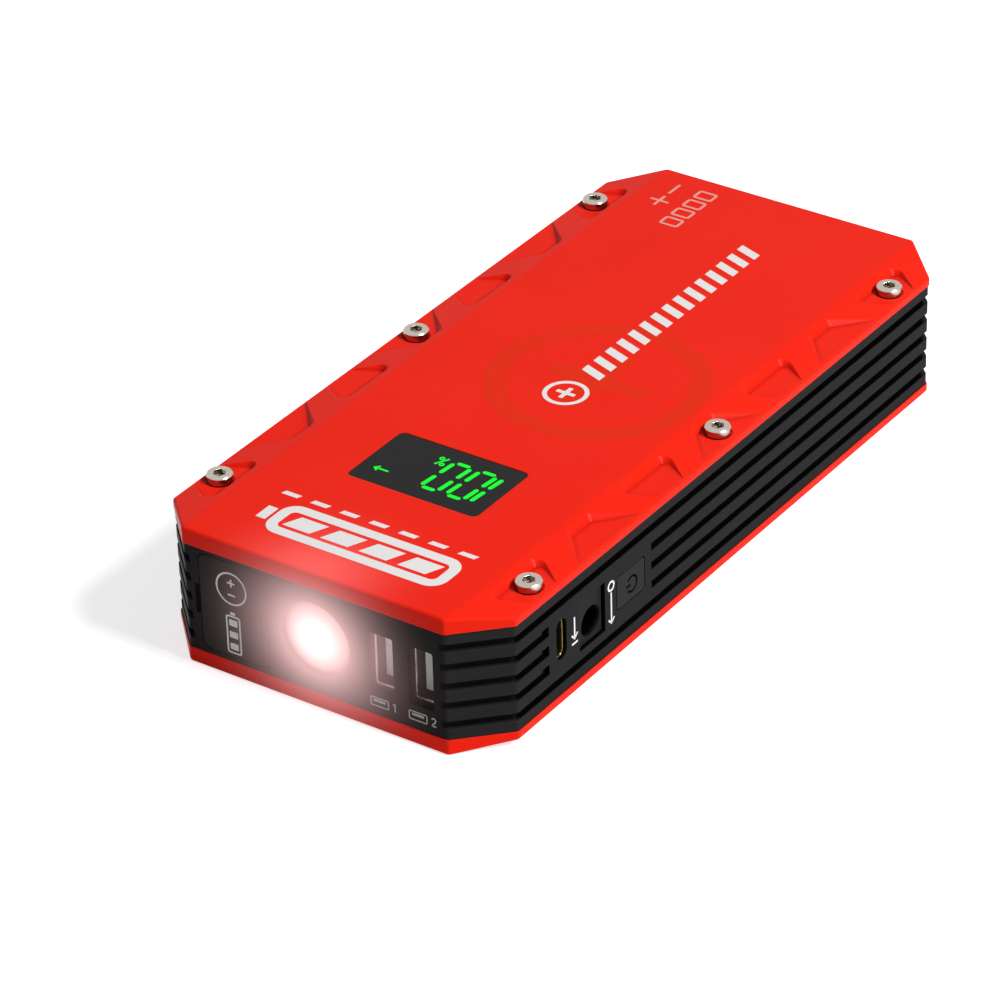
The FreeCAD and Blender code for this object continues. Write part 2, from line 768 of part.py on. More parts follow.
def cut_front_panel(body):
    """Openings of the torch end: cap recess, nail notch, socket mouth, torch and USB-A."""
    recess = new_sketch(body, "XZ_Plane", front_face)
    tall = "(Sizes.cap_tall + 2 * Sizes.cap_gap)"
    left, right = "-Sizes.cap_left - Sizes.cap_gap", "-Sizes.cap_right + Sizes.cap_gap"
    outer_round, root_round = "Sizes.cap_round + Sizes.cap_gap", "Sizes.anchor_round + Sizes.cap_gap"
    draw_outline(recess, [
        (left, f"-{tall} / 2", outer_round), (right, f"-{tall} / 2", root_round),
        (right, f"{tall} / 2", root_round), (left, f"{tall} / 2", outer_round),
    ])
    pocket(body, recess, "Sizes.cap_thick + Sizes.cap_gap")
    nail = new_sketch(body, "XZ_Plane", front_face)
    draw_outline(nail, rectangle("-Sizes.cap_left - Sizes.cap_gap - Sizes.nail_width",
                                 "-Sizes.cap_left", "-Sizes.nail_tall / 2", "Sizes.nail_tall / 2"))
    pocket(body, nail, "Sizes.nail_depth")
    holes = new_sketch(body, "XZ_Plane", front_face)
    draw_outline(holes, mouth_outline("-Sizes.socket_x", "Sizes.socket_wall"))
    draw_circle(holes, "0", "0", "Sizes.torch_opening / 2")
    for step in (0, 1):
        draw_outline(holes, centred(f"Sizes.usb_a_x - {step} * Sizes.usb_a_pitch", "0",
                                    "Sizes.usb_a_across + 2 * Sizes.usb_a_gap",
                                    "Sizes.usb_a_tall + 2 * Sizes.usb_a_gap", "0.5"))
    for side in ("", "-"):
        draw_circle(holes, "-Sizes.cap_right - Sizes.anchor_width / 2", f"{side}Sizes.peg_pitch / 2",
                    "Sizes.peg_diameter / 2")
    pocket(body, holes, "Sizes.frame_wall + Sizes.break_through")
    counterbore = new_sketch(body, "XZ_Plane", front_inner)
    draw_circle(counterbore, "0", "0", "Sizes.lens_flange / 2 + Sizes.lens_gap")
    pocket(body, counterbore, "Sizes.lens_flange_thick", back=True)
    radius = sizes["torch_opening"] / 2
    face = sizes["length"] / 2 - sizes["frame_inset"]
    round_edges(body, "Sizes.torch_bevel", lambda edge: edge.Curve.TypeId == "Part::GeomCircle"
                and abs(edge.Curve.Radius - radius) < 0.01
                and abs(edge.Curve.Center.y + face) < 0.01, kind="Chamfer")


def mouth_outline(x, wall, rounding="Sizes.mouth_round"):
    """The jump socket's outline less a wall: two corners are cut, so a plug fits one way."""
    half_across = f"(Sizes.socket_across / 2 - {wall})"
    half_tall = f"(Sizes.socket_tall / 2 - {wall})"
    return [
        (f"{x} - {half_across}", f"-{half_tall}", rounding),
        (f"{x} + {half_across} - Sizes.mouth_key", f"-{half_tall}"),
        (f"{x} + {half_across}", f"-{half_tall} + Sizes.mouth_key"),
        (f"{x} + {half_across}", f"{half_tall} - Sizes.mouth_key"),
        (f"{x} + {half_across} - Sizes.mouth_key", half_tall),
        (f"{x} - {half_across}", half_tall, rounding),
    ]


def usb_c_outline(gap):
    """The slot of the USB-C port. Its ends fall a little short of a full half circle."""
    across = f"(Sizes.usb_c_across + 2 * {gap})"
    tall = f"(Sizes.usb_c_tall + 2 * {gap})"
    return centred("(-Sizes.usb_c_y)", "Sizes.usb_c_rise", across, tall, f"0.49 * {across}")


def cut_side_panel(body):
    """Openings of the button side: USB-C slot, jack window and button hole."""
    holes = new_sketch(body, "YZ_Plane", side_face)
    draw_outline(holes, usb_c_outline("Sizes.usb_c_gap"))
    draw_outline(holes, centred("(-Sizes.jack_y)", f"(Sizes.jack_z - {middle_z})",
                                "Sizes.jack_across + 2 * Sizes.jack_gap",
                                "Sizes.jack_tall + 2 * Sizes.jack_gap"))
    draw_outline(holes, centred("(-Sizes.button_y)", "0", "Sizes.button_across + 2 * Sizes.button_gap",
                                "Sizes.button_tall + 2 * Sizes.button_gap",
                                "Sizes.button_round + Sizes.button_gap"))
    pocket(body, holes, "Sizes.frame_wall + Sizes.break_through")


def make_middle_frame():
    """The finned ring. Its local z runs from the middle of the pack's height."""
    body = new_body("middle_frame", ("0", "0", middle_z))
    ring = new_sketch(body, "XY_Plane")
    draw_outline(ring, octagon("Sizes.frame_inset"))
    draw_outline(ring, octagon("(Sizes.frame_inset + Sizes.frame_wall)"))
    pad(body, ring, f"2 * {half_frame}", both=True)
    outer = sizes["width"] / 2 - sizes["frame_inset"] - sizes["corner_cut"]
    reach = sizes["length"] / 2 - sizes["frame_inset"]
    round_edges(body, "Sizes.corner_round", lambda edge: is_upright(edge) and (
        abs(edge.BoundBox.XMax) + abs(edge.BoundBox.YMax) > outer + reach))
    towers = new_sketch(body, "XY_Plane")
    screw_circles(towers, "Sizes.tower_diameter / 2")
    pad(body, towers, f"2 * {half_frame}", both=True)
    tube = new_sketch(body, "XZ_Plane", front_inner)
    inner = "(Sizes.lens_flange / 2 + Sizes.lens_gap)"
    draw_circle(tube, "0", "0", f"{inner} + Sizes.torch_tube_wall")
    draw_circle(tube, "0", "0", inner)
    pad(body, tube, "Sizes.reflector_depth + Sizes.torch_board_thick", back=True)
    cut_grooves(body)
    cut_front_panel(body)
    cut_side_panel(body)
    for side, downwards in (("", False), ("-", True)):
        for radius, depth in (("Sizes.insert_diameter / 2", "Sizes.insert_length"),
                              ("Sizes.screw_clearance / 2", "Sizes.insert_length + Sizes.tip_room")):
            sockets = new_sketch(body, "XY_Plane", f"{side}{half_frame}")
            screw_circles(sockets, radius)
            pocket(body, sockets, depth, back=downwards)


# Fasteners

def screw_set(name, seat):
    """Six low cap screws with hexagon sockets: one turned about its axis, then repeated."""
    body = doc.addObject("PartDesign::Body", name)
    profile = new_sketch(body, "XZ_Plane")
    head = "Sizes.head_diameter / 2"
    shank = "Sizes.screw_diameter / 2"
    draw_outline(profile, [
        ("0", "-Sizes.screw_length"), (shank, "-Sizes.screw_length"), (shank, "0"), (head, "0"),
        (head, "Sizes.head_height - Sizes.head_chamfer"),
        (f"{head} - Sizes.head_chamfer", "Sizes.head_height"), ("0", "Sizes.head_height"),
    ])
    turned = revolve(body, profile, "Z_Axis")
    socket = new_sketch(body, "XY_Plane", "Sizes.head_height")
    corner = "Sizes.hex_across / sqrt(3)"
    draw_outline(socket, [(f"{corner} * cos({60 * turn} deg)", f"{corner} * sin({60 * turn} deg)")
                          for turn in range(6)])
    recess = pocket(body, socket, "Sizes.hex_depth")
    rows = [linear(body, "X_Axis", "2 * Sizes.screw_side", 2),
            linear(body, "Y_Axis", f"2 * {screw_y}", 3)]
    transform_many(body, [turned, recess], rows)
    place(body, ("-Sizes.screw_side", f"-{screw_y}", seat))
    return body


def make_cover_screws():
    """The same screw holds both covers: six from above, six from below."""
    upper = screw_set("upper_screws", seat_z)
    lower = screw_set("lower_screws", "Sizes.shoulder_drop + Sizes.foot_sink")
    lower.Placement.Rotation = Rotation(Vector(0, 1, 0), 180)
    lower.setExpression(".Placement.Base.x", "Sizes.screw_side")
    keep(combine("Compound", "cover_screws", [upper, lower]))


def make_thread_inserts():
    """Brass sleeves pressed into both ends of the frame's screw towers."""
    ends = ("Sizes.cover_height", "Sizes.height - Sizes.cover_height - Sizes.insert_length")
    sleeves = []
    for level, low in enumerate(ends):
        for column, side in enumerate(("", "-")):
            for row in (-1, 0, 1):
                base = (f"{side}Sizes.screw_side", f"{row} * {screw_y}", low)
                name = f"insert_{level}_{column}_{row + 1}"
                outside = cylinder(name + "_outside", base, "Sizes.insert_diameter / 2",
                                   "Sizes.insert_length")
                bore = cylinder(name + "_bore", base, "Sizes.screw_diameter / 2", "Sizes.insert_length")
                sleeves.append(combine("Cut", name, (outside, bore)))
    keep(combine("Compound", "thread_inserts", sleeves))


def make_board_screws():
    screws = []
    for number, (x, y) in enumerate(board_screw_places):
        shank = cylinder(f"board_shank_{number}",
                         (x, y, f"{board_top} - Sizes.board_screw_length"),
                         "Sizes.board_screw_diameter / 2", "Sizes.board_screw_length")
        head = cylinder(f"board_head_{number}", (x, y, board_top), "Sizes.board_screw_head / 2",
                        "Sizes.board_screw_head_height")
        screws.append(combine("Fuse", f"board_screw_{number}", [shank, head]))
    keep(combine("Compound", "board_screws", screws))


# Display

def make_display():
    window = new_body("display_window")
    outline = new_sketch(window, "XY_Plane", "Sizes.height - Sizes.window_sink")
    draw_outline(outline, centred("0", "(-Sizes.display_y)", "Sizes.window_across", "Sizes.window_along",
                                  "Sizes.window_round"))
    pad(window, outline, "Sizes.window_thick", back=True)
    seat = "(Sizes.height - Sizes.roof)"
    half_across = "(Sizes.window_across / 2 - Sizes.module_margin)"
    half_along = "(Sizes.window_along / 2 - Sizes.module_margin)"
    block = box("module_block", (f"-{half_across}", half_across),
                (f"-Sizes.display_y - {half_along}", f"-Sizes.display_y + {half_along}"),
                (f"{seat} - Sizes.module_depth", seat))
    inner_across = "(Sizes.window_across / 2 - Sizes.window_ledge - Sizes.module_face_gap)"
    inner_along = "(Sizes.window_along / 2 - Sizes.window_ledge - Sizes.module_face_gap)"
    face = box("module_face", (f"-{inner_across}", inner_across),
               (f"-Sizes.display_y - {inner_along}", f"-Sizes.display_y + {inner_along}"),
               (seat, "Sizes.height - Sizes.window_sink - Sizes.window_thick - Sizes.window_gap"))
    keep(combine("Fuse", "display_module", [block, face]))
    board_across = "(Sizes.window_across / 2 + Sizes.display_board_over)"
    board_along = "(Sizes.window_along / 2 + Sizes.display_board_margin)"
    board_face = f"({seat} - Sizes.module_depth)"
    keep(box("display_board", (f"-{board_across}", board_across),
             (f"-Sizes.display_y - {board_along}", f"-Sizes.display_y + {board_along}"),
             (f"{board_face} - Sizes.display_board_thick", board_face)))


# Torch

def torch_body(label):
    """A body with its origin on the torch's axis at the panel's face, y running inwards."""
    return new_body(label, ("0", f"-{front_face}", middle_z))


def make_torch():
    lens = torch_body("torch_lens")
    profile = new_sketch(lens, "YZ_Plane")
    clear = "Sizes.torch_opening / 2 - Sizes.lens_gap"
    flange = "Sizes.lens_flange / 2"
    step = "(Sizes.frame_wall - Sizes.lens_flange_thick)"
    draw_outline(profile, [
        (f"{step} - Sizes.lens_thick", "0"), (f"{step} - 0.8 * Sizes.lens_thick", f"0.7 * ({clear})"),
        (f"{step} - 0.4 * Sizes.lens_thick", clear), (step, clear), (step, flange),
        ("Sizes.frame_wall", flange), ("Sizes.frame_wall", "0"),
    ])
    revolve(lens, profile, "Y_Axis")
    reflector = torch_body("torch_reflector")
    cup = new_sketch(reflector, "YZ_Plane")
    end = "(Sizes.frame_wall + Sizes.reflector_depth)"
    wall = "Sizes.reflector_wall"
    throat = "Sizes.reflector_throat / 2"
    mouth = "(Sizes.lens_flange / 2 - Sizes.reflector_rim)"
    shoulder = f"({end} - Sizes.reflector_shoulder)"
    draw_outline(cup, [
        ("Sizes.frame_wall", mouth), (shoulder, f"0.86 * {mouth}", "Sizes.reflector_round"),
        (end, throat), (end, f"{throat} + {wall}"),
        (f"{shoulder} + {wall}", f"0.86 * {mouth} + {wall}", f"Sizes.reflector_round + {wall}"),
        (f"Sizes.frame_wall + {wall}", f"{mouth} + {wall}"), (f"Sizes.frame_wall + {wall}", flange),
        ("Sizes.frame_wall", flange),
    ])
    revolve(reflector, cup, "Y_Axis")
    keep(cylinder("torch_board", ("0", f"-{front_face} + {end}", middle_z), flange,
                  "Sizes.torch_board_thick", "y"))
    half = "(Sizes.emitter_side / 2)"
    chip_y = f"(-{front_face} + {end} - Sizes.emitter_base)"
    chip = box("emitter_chip", (f"-{half}", half), (chip_y, f"-{front_face} + {end}"),
               (f"{middle_z} - {half}", f"{middle_z} + {half}"))
    dome = doc.addObject("Part::Sphere", "emitter_dome")
    dome.setExpression("Radius", "Sizes.emitter_dome")
    dome.Angle1 = 0
    dome.Placement.Rotation = Rotation(Vector(1, 0, 0), 90)
    place(dome, ("0", chip_y, middle_z))
    keep(combine("Fuse", "torch_emitter", [chip, dome]))


# Jump socket, its contacts and its cap

def make_jump_socket():
    """A keyed block with a mouth at the front and two bores for the contacts."""
    body = new_body("jump_socket", ("0", "0", middle_z))
    outline = new_sketch(body, "XZ_Plane", front_inner)
    draw_outline(outline, mouth_outline("-Sizes.socket_x", "0"))
    pad(body, outline, "Sizes.socket_long", back=True)
    mouth = new_sketch(body, "XZ_Plane", front_inner)
    draw_outline(mouth, mouth_outline("-Sizes.socket_x", "Sizes.socket_wall"))
    pocket(body, mouth, "Sizes.mouth_depth")
    bores = new_sketch(body, "XZ_Plane", front_inner)
    for side in ("", "-"):
        draw_circle(bores, "-Sizes.socket_x", f"{side}Sizes.contact_pitch / 2",
                    "Sizes.contact_diameter / 2")
    pocket(body, bores)
    rear = f"({front_inner} - Sizes.socket_long)"
    floor = f"({front_inner} - Sizes.mouth_depth)"
    tubes = []
    for number, side in enumerate(("", "-")):
        base = ("-Sizes.socket_x", f"-{floor}", f"{middle_z} + {side}Sizes.contact_pitch / 2")
        outside = cylinder(f"contact_outside_{number}", base, "Sizes.contact_diameter / 2",
                           f"{floor} - {rear} + Sizes.contact_tail", "y")
        bore = cylinder(f"contact_bore_{number}", base, "Sizes.contact_bore / 2",
                        "Sizes.contact_bore_depth", "y")
        tubes.append(combine("Cut", f"contact_{number}", (outside, bore)))
    keep(combine("Compound", "jump_contacts", tubes))


def make_socket_cap():
    """The cap swings about its edge at the panel's face. Behind it a hollow plug enters the
    mouth, and the strip beside it is the root that the frame holds."""
    cap = new_body("socket_cap", ("0", "0", middle_z))
    outline = new_sketch(cap, "XZ_Plane", front_face)
    hinge = f"-{cap_hinge_x} - 0.5 * Sizes.cap_gap"
    half_tall = "(Sizes.cap_tall / 2)"
    draw_outline(outline, [
        ("-Sizes.cap_left", f"-{half_tall}", "Sizes.cap_round"), (hinge, f"-{half_tall}"),
        (hinge, half_tall), ("-Sizes.cap_left", half_tall, "Sizes.cap_round"),
    ])
    pad(cap, outline, "Sizes.cap_thick", back=True)
    plug = new_sketch(cap, "XZ_Plane", f"{front_face} - Sizes.cap_thick")
    outside = "(Sizes.socket_wall + Sizes.plug_gap)"
    draw_outline(plug, mouth_outline("-Sizes.socket_x", outside))
    draw_outline(plug, mouth_outline("-Sizes.socket_x", f"({outside} + Sizes.plug_rim)",
                                     "Sizes.plug_round"))
    pad(cap, plug, "Sizes.plug_depth", back=True)
    anchor = new_body("cap_anchor", ("0", "0", middle_z))
    strip = new_sketch(anchor, "XZ_Plane", front_face)
    left = f"-{cap_hinge_x} + 0.5 * Sizes.cap_gap"
    draw_outline(strip, [
        (left, f"-{half_tall}"), ("-Sizes.cap_right", f"-{half_tall}", "Sizes.anchor_round"),
        ("-Sizes.cap_right", half_tall, "Sizes.anchor_round"), (left, half_tall),
    ])
    pad(anchor, strip, "Sizes.cap_thick + Sizes.cap_gap", back=True)
    pegs = new_sketch(anchor, "XZ_Plane", f"{front_face} - Sizes.cap_thick")
    for side in ("", "-"):
        draw_circle(pegs, "-Sizes.cap_right - Sizes.anchor_width / 2", f"{side}Sizes.peg_pitch / 2",
                    "Sizes.peg_diameter / 2")
    pad(anchor, pegs, "Sizes.frame_wall - Sizes.cap_thick", back=True)


# USB-A ports

def make_usb_a():
    """Two upright ports: folded shells, an insulator with its tongue, and four leaves."""
    base = ("Sizes.usb_a_x - Sizes.usb_a_pitch", f"-{front_face} + Sizes.usb_a_sink", middle_z)
    shells = new_body("usb_a_shells", base)
    tube = new_sketch(shells, "XZ_Plane")
    draw_outline(tube, centred("0", "0", "Sizes.usb_a_across", "Sizes.usb_a_tall", "Sizes.usb_a_round"))
    inside = centred("0", "0", "Sizes.usb_a_across - 2 * Sizes.usb_a_sheet",
                     "Sizes.usb_a_tall - 2 * Sizes.usb_a_sheet", "Sizes.usb_a_round - Sizes.usb_a_sheet")
    draw_outline(tube, inside)
    folded = pad(shells, tube, "Sizes.usb_a_long", back=True)
    legs = new_sketch(shells, "YZ_Plane")
    foot = f"({board_top} - {middle_z})"
    for start in ("Sizes.usb_a_leg", "Sizes.usb_a_long - 2 * Sizes.usb_a_leg"):
        draw_outline(legs, rectangle(start, f"{start} + Sizes.usb_a_leg", foot,
                                     "-(Sizes.usb_a_tall - Sizes.usb_a_sheet) / 2"))
    stood = pad(shells, legs, "Sizes.usb_a_across - Sizes.usb_a_leg_narrow", both=True)
    slots = new_sketch(shells, "YZ_Plane")
    for side in ("", "-"):
        draw_outline(slots, centred("0.45 * Sizes.usb_a_long", f"({side}0.22 * Sizes.usb_a_tall)",
                                    "Sizes.spring_long", "Sizes.spring_wide"))
    windows = pocket(shells, slots, both=True)
    linear(shells, "X_Axis", "Sizes.usb_a_pitch", 2, [folded, stood, windows])

    blocks = new_body("usb_a_tongues", base)
    plug = new_sketch(blocks, "XZ_Plane", "-(Sizes.usb_a_long - Sizes.insulator_long)")
    draw_outline(plug, inside)
    block = pad(blocks, plug, "Sizes.insulator_long", back=True)
    tongue = new_sketch(blocks, "XZ_Plane", "-Sizes.tongue_sink")
    draw_outline(tongue, centred("(-Sizes.tongue_shift)", "0", "Sizes.tongue_thick",
                                 "Sizes.tongue_tall"))
    tongue_long = "Sizes.usb_a_long - Sizes.tongue_sink - 0.5 * Sizes.insulator_long"
    blade = pad(blocks, tongue, tongue_long, back=True)
    linear(blocks, "X_Axis", "Sizes.usb_a_pitch", 2, [block, blade])

    leaves = new_body("usb_a_contacts", base)
    strips = new_sketch(leaves, "XZ_Plane", "-(Sizes.tongue_sink + Sizes.leaf_sink)")
    face = "(-Sizes.tongue_shift + Sizes.tongue_thick / 2)"
    for step in (-1.5, -0.5, 0.5, 1.5):
        low = f"{step} * Sizes.leaf_pitch - Sizes.leaf_width / 2"
        draw_outline(strips, rectangle(face, f"{face} + Sizes.leaf_thick", low,
                                       f"{low} + Sizes.leaf_width"))
    leaf_long = "Sizes.usb_a_long - Sizes.tongue_sink - Sizes.leaf_sink - Sizes.insulator_long"
    leaf = pad(leaves, strips, leaf_long, back=True)
    linear(leaves, "X_Axis", "Sizes.usb_a_pitch", 2, [leaf])


# Ports and switch on the side board

def make_usb_c():
    shell = new_body("usb_c_shell", ("0", "0", middle_z))
    face = f"({side_face} - Sizes.usb_c_sink)"
    tube = new_sketch(shell, "YZ_Plane", face)
    draw_outline(tube, usb_c_outline("0"))
    draw_outline(tube, usb_c_outline("(-Sizes.usb_c_sheet)"))
    pad(shell, tube, f"{face} - Sizes.side_board_face", back=True)
    rear = "(Sizes.side_board_face + Sizes.usb_c_plug)"
    block = new_body("usb_c_tongue", ("0", "0", middle_z))
    plug = new_sketch(block, "YZ_Plane", rear)
    draw_outline(plug, usb_c_outline("(-Sizes.usb_c_sheet)"))
    pad(block, plug, f"{rear} - Sizes.side_board_face", back=True)
    tongue_tip = f"({face} - Sizes.usb_c_tongue_sink)"
    tongue = new_sketch(block, "YZ_Plane", tongue_tip)
    draw_outline(tongue, centred("(-Sizes.usb_c_y)", "Sizes.usb_c_rise", "Sizes.usb_c_tongue",
                                 "Sizes.usb_c_tongue_tall"))
    pad(block, tongue, f"{tongue_tip} - {rear} + 0.5 * Sizes.usb_c_plug", back=True)


def make_power_jack():
    body = new_body("power_jack")
    face = f"({side_face} - Sizes.jack_sink)"
    outline = new_sketch(body, "YZ_Plane", face)
    draw_outline(outline, centred("(-Sizes.jack_y)", "Sizes.jack_z", "Sizes.jack_across",
                                  "Sizes.jack_tall"))
    pad(body, outline, f"{face} - Sizes.side_board_face", back=True)
    bore = new_sketch(body, "YZ_Plane", face)
    draw_circle(bore, "-Sizes.jack_bore_y", "Sizes.jack_bore_z", "Sizes.jack_bore / 2")
    pocket(body, bore, "Sizes.jack_bore_depth")
    radius = sizes["jack_bore"] / 2
    depth = sizes["width"] / 2 - sizes["frame_inset"] - sizes["jack_sink"]
    round_edges(body, "Sizes.jack_bevel", lambda edge: edge.Curve.TypeId == "Part::GeomCircle"
                and abs(edge.Curve.Radius - radius) < 0.01
                and abs(edge.Curve.Center.x - depth) < 0.01, kind="Chamfer")
    length = "(Sizes.jack_bore_depth - Sizes.jack_pin_sink)"
    pin = cylinder("jack_pin_bar", (f"{face} - Sizes.jack_bore_depth", "-Sizes.jack_bore_y",
                                    "Sizes.jack_bore_z"), "Sizes.jack_pin / 2", length, "x")
    tip = doc.addObject("Part::Fillet", "power_jack_pin")
    tip.Base = pin
    doc.recompute()
    end = depth - sizes["jack_pin_sink"]
    edges = [index for index, edge in enumerate(pin.Shape.Edges, start=1)
             if edge.Curve.TypeId == "Part::GeomCircle" and edge.Curve.Center.x > end - 0.01]
    tip.Edges = [(index, sizes["jack_pin_round"], sizes["jack_pin_round"]) for index in edges]
    keep(tip)


def make_button():
    """The button cap with its retaining flange and stem. It travels inwards along x."""
    body = new_body("power_button", ("0", "0", middle_z))
    face = new_sketch(body, "YZ_Plane", side_face)
    draw_outline(face, centred("(-Sizes.button_y)", "0", "Sizes.button_across", "Sizes.button_tall",
                               "Sizes.button_round"))
    flange_face = f"({side_inner} - Sizes.button_gap)"
    pad(body, face, f"{side_face} - {flange_face} + 0.5 * Sizes.button_flange_thick", back=True)
    flange = new_sketch(body, "YZ_Plane", flange_face)
    draw_outline(flange, centred("(-Sizes.button_y)", "0",
                                 "Sizes.button_across + 2 * (Sizes.button_gap + Sizes.button_flange)",
                                 "Sizes.button_tall + 2 * (Sizes.button_gap + Sizes.button_flange)",
                                 "Sizes.button_flange_round"))
    pad(body, flange, "Sizes.button_flange_thick", back=True)
    stem = new_sketch(body, "YZ_Plane", f"{flange_face} - 0.5 * Sizes.button_flange_thick")
    draw_circle(stem, "-Sizes.button_y", "0", "Sizes.stem_diameter / 2")
    plunger_tip = "(Sizes.side_board_face + Sizes.switch_depth + Sizes.plunger_reach)"
    pad(body, stem, f"{flange_face} - 0.5 * Sizes.button_flange_thick - {plunger_tip}", back=True)
    low = "(Sizes.side_board_face + Sizes.button_travel + Sizes.plunger_foot)"
    keep(cylinder("switch_plunger", (low, "-Sizes.button_y", middle_z), "Sizes.plunger_diameter / 2",
                  f"{plunger_tip} - {low}", "x"))
    half = "(Sizes.switch_side / 2)"
    case = box("switch_case", ("Sizes.side_board_face", "Sizes.side_board_face + Sizes.switch_depth"),
               (f"-Sizes.button_y - {half}", f"-Sizes.button_y + {half}"),
               (f"{middle_z} - {half}", f"{middle_z} + {half}"))
    well = cylinder("switch_well", ("Sizes.side_board_face + Sizes.switch_floor", "-Sizes.button_y",
                                    middle_z), "Sizes.plunger_diameter / 2 + Sizes.plunger_gap",
                    "Sizes.switch_depth", "x")
    keep(combine("Cut", "button_switch", (case, well)))


# Boards and what stands on them

def make_boards():
    main = new_body("main_board")
    outline = new_sketch(main, "XY_Plane", "Sizes.board_under")
    draw_outline(outline, [
        ("Sizes.board_inner", "-Sizes.board_front"),
        ("Sizes.board_side - Sizes.board_nose", "-Sizes.board_front"),
        ("Sizes.board_side", "-Sizes.board_front + Sizes.board_nose"),
        ("Sizes.board_side", f"-{main_back}"), ("-Sizes.board_side", f"-{main_back}"),
        ("-Sizes.board_side", "-Sizes.board_step"), ("Sizes.board_inner", "-Sizes.board_step"),
    ])
    pad(main, outline, "Sizes.board_thick")
    holes = new_sketch(main, "XY_Plane", board_top)
    board_circles(holes, "Sizes.board_screw_diameter / 2")
    pocket(main, holes)
    inner = "(Sizes.side_board_face - Sizes.board_thick)"
    keep(box("side_board", (inner, "Sizes.side_board_face"),
             ("-Sizes.side_board_front", "-Sizes.side_board_back"), (board_top, "Sizes.side_board_top")))
    half_row = "(2.4 * Sizes.header_pitch)"
    pieces = [box("header_block", (f"{inner} - Sizes.header_side", inner),
                  (f"-Sizes.header_y - {half_row}", f"-Sizes.header_y + {half_row}"),
                  (board_top, f"{board_top} + Sizes.header_side"))]
    for step in range(-2, 3):
        y = f"(-Sizes.header_y + {step} * Sizes.header_pitch)"
        pieces.append(box(f"header_foot_{step + 2}",
                          (f"{inner} - Sizes.header_side - Sizes.header_pin_reach",
                           f"{inner} - 0.5 * Sizes.header_side"),
                          (f"{y} - Sizes.header_pin / 2", f"{y} + Sizes.header_pin / 2"),
                          (board_top, f"{board_top} + Sizes.header_pin")))
    keep(combine("Fuse", "board_header", pieces))
    keep(box("tab_board", ("-Sizes.tab_board_side", "Sizes.tab_board_side"),
             (f"-{main_back}", f"-{tab_board_y}"), ("Sizes.roof", "Sizes.tab_board_top")))


def standing(name, x, y, across, along, tall):
    """A block on the main board around a point."""
    return box(name, (f"{x} - ({across}) / 2", f"{x} + ({across}) / 2"),
               (f"{y} - ({along}) / 2", f"{y} + ({along}) / 2"), (board_top, f"{board_top} + {tall}"))


def make_components():
    """Power parts on the main board."""
    transistors = []
    tab_y = "(-Sizes.transistor_y + (Sizes.transistor_long + Sizes.transistor_tab_reach) / 2)"
    for step in range(4):
        x = f"(Sizes.transistor_middle + {step - 1.5} * Sizes.transistor_pitch)"
        body = standing(f"transistor_body_{step}", x, "(-Sizes.transistor_y)", "Sizes.transistor_across",
                        "Sizes.transistor_long", "Sizes.transistor_tall")
        tab = standing(f"transistor_tab_{step}", x, tab_y, "Sizes.transistor_tab_across",
                       "Sizes.transistor_tab_reach", "Sizes.transistor_tab_thick")
        transistors.append(combine("Fuse", f"transistor_{step}", [body, tab]))
    keep(combine("Compound", "power_transistors", transistors))
    core = standing("choke_core", "Sizes.choke_x", "(-Sizes.choke_y)", "Sizes.choke_side",
                    "Sizes.choke_side", "Sizes.choke_tall")
    edges = doc.addObject("Part::Chamfer", "choke")
    edges.Base = core
    doc.recompute()
    upright = [index for index, edge in enumerate(core.Shape.Edges, start=1) if is_upright(edge)]
    edges.Edges = [(index, sizes["choke_corner"], sizes["choke_corner"]) for index in upright]
    keep(edges)
    cans = []
    for step in range(2):
        y = f"-Sizes.can_y + {step - 0.5} * Sizes.can_pitch"
        cans.append(cylinder(f"capacitor_{step}", ("Sizes.can_x", y, board_top),
                             "Sizes.can_diameter / 2", "Sizes.can_tall"))
    keep(combine("Compound", "capacitors", cans))
    keep(standing("controller_chip", "(-Sizes.chip_x)", "(-Sizes.chip_y)", "Sizes.chip_side",
                  "Sizes.chip_side", "Sizes.chip_thick"))


# Cells and leads

def make_cells():
    low = "(Sizes.roof + Sizes.foam_thick)"
    back = "(-Sizes.cell_front + Sizes.cell_long)"
    skin = "Sizes.cell_gap / 2"
    for number in range(3):
        body = new_body(f"battery_cell_{number + 1}", ("0", "0", f"{low} + {number} * Sizes.cell_thick"))
        face = new_sketch(body, "XZ_Plane", "Sizes.cell_front")
        draw_outline(face, rectangle("-Sizes.cell_side", "Sizes.cell_side", skin,
                                     f"Sizes.cell_thick - {skin}", "Sizes.cell_round"))
        pad(body, face, "Sizes.cell_long", back=True)
    tabs = []
    for number in range(3):
        middle = f"({low} + ({number} + 0.5) * Sizes.cell_thick)"
        for column, side in enumerate(("", "-")):
            x = f"{side}Sizes.tab_x"
            tabs.append(box(f"tab_{number}_{column}",
                            (f"{x} - Sizes.tab_width / 2", f"{x} + Sizes.tab_width / 2"),
                            (f"-{tab_board_y}", "-Sizes.cell_front"),
                            (f"{middle} - Sizes.tab_thick / 2", f"{middle} + Sizes.tab_thick / 2")))
    keep(combine("Compound", "cell_tabs", tabs))
    span_x = ("-Sizes.cell_side + Sizes.foam_margin", "Sizes.cell_side - Sizes.foam_margin")
    span_y = ("-Sizes.cell_front + Sizes.foam_margin", f"{back} - Sizes.foam_margin")
    under = box("foam_under", span_x, span_y, ("Sizes.roof", f"{low} + {skin}"))
    over = box("foam_over", span_x, span_y,
               (f"{low} + 3 * Sizes.cell_thick - {skin}", "Sizes.height - Sizes.roof"))
    keep(combine("Compound", "foam_pads", [under, over]))


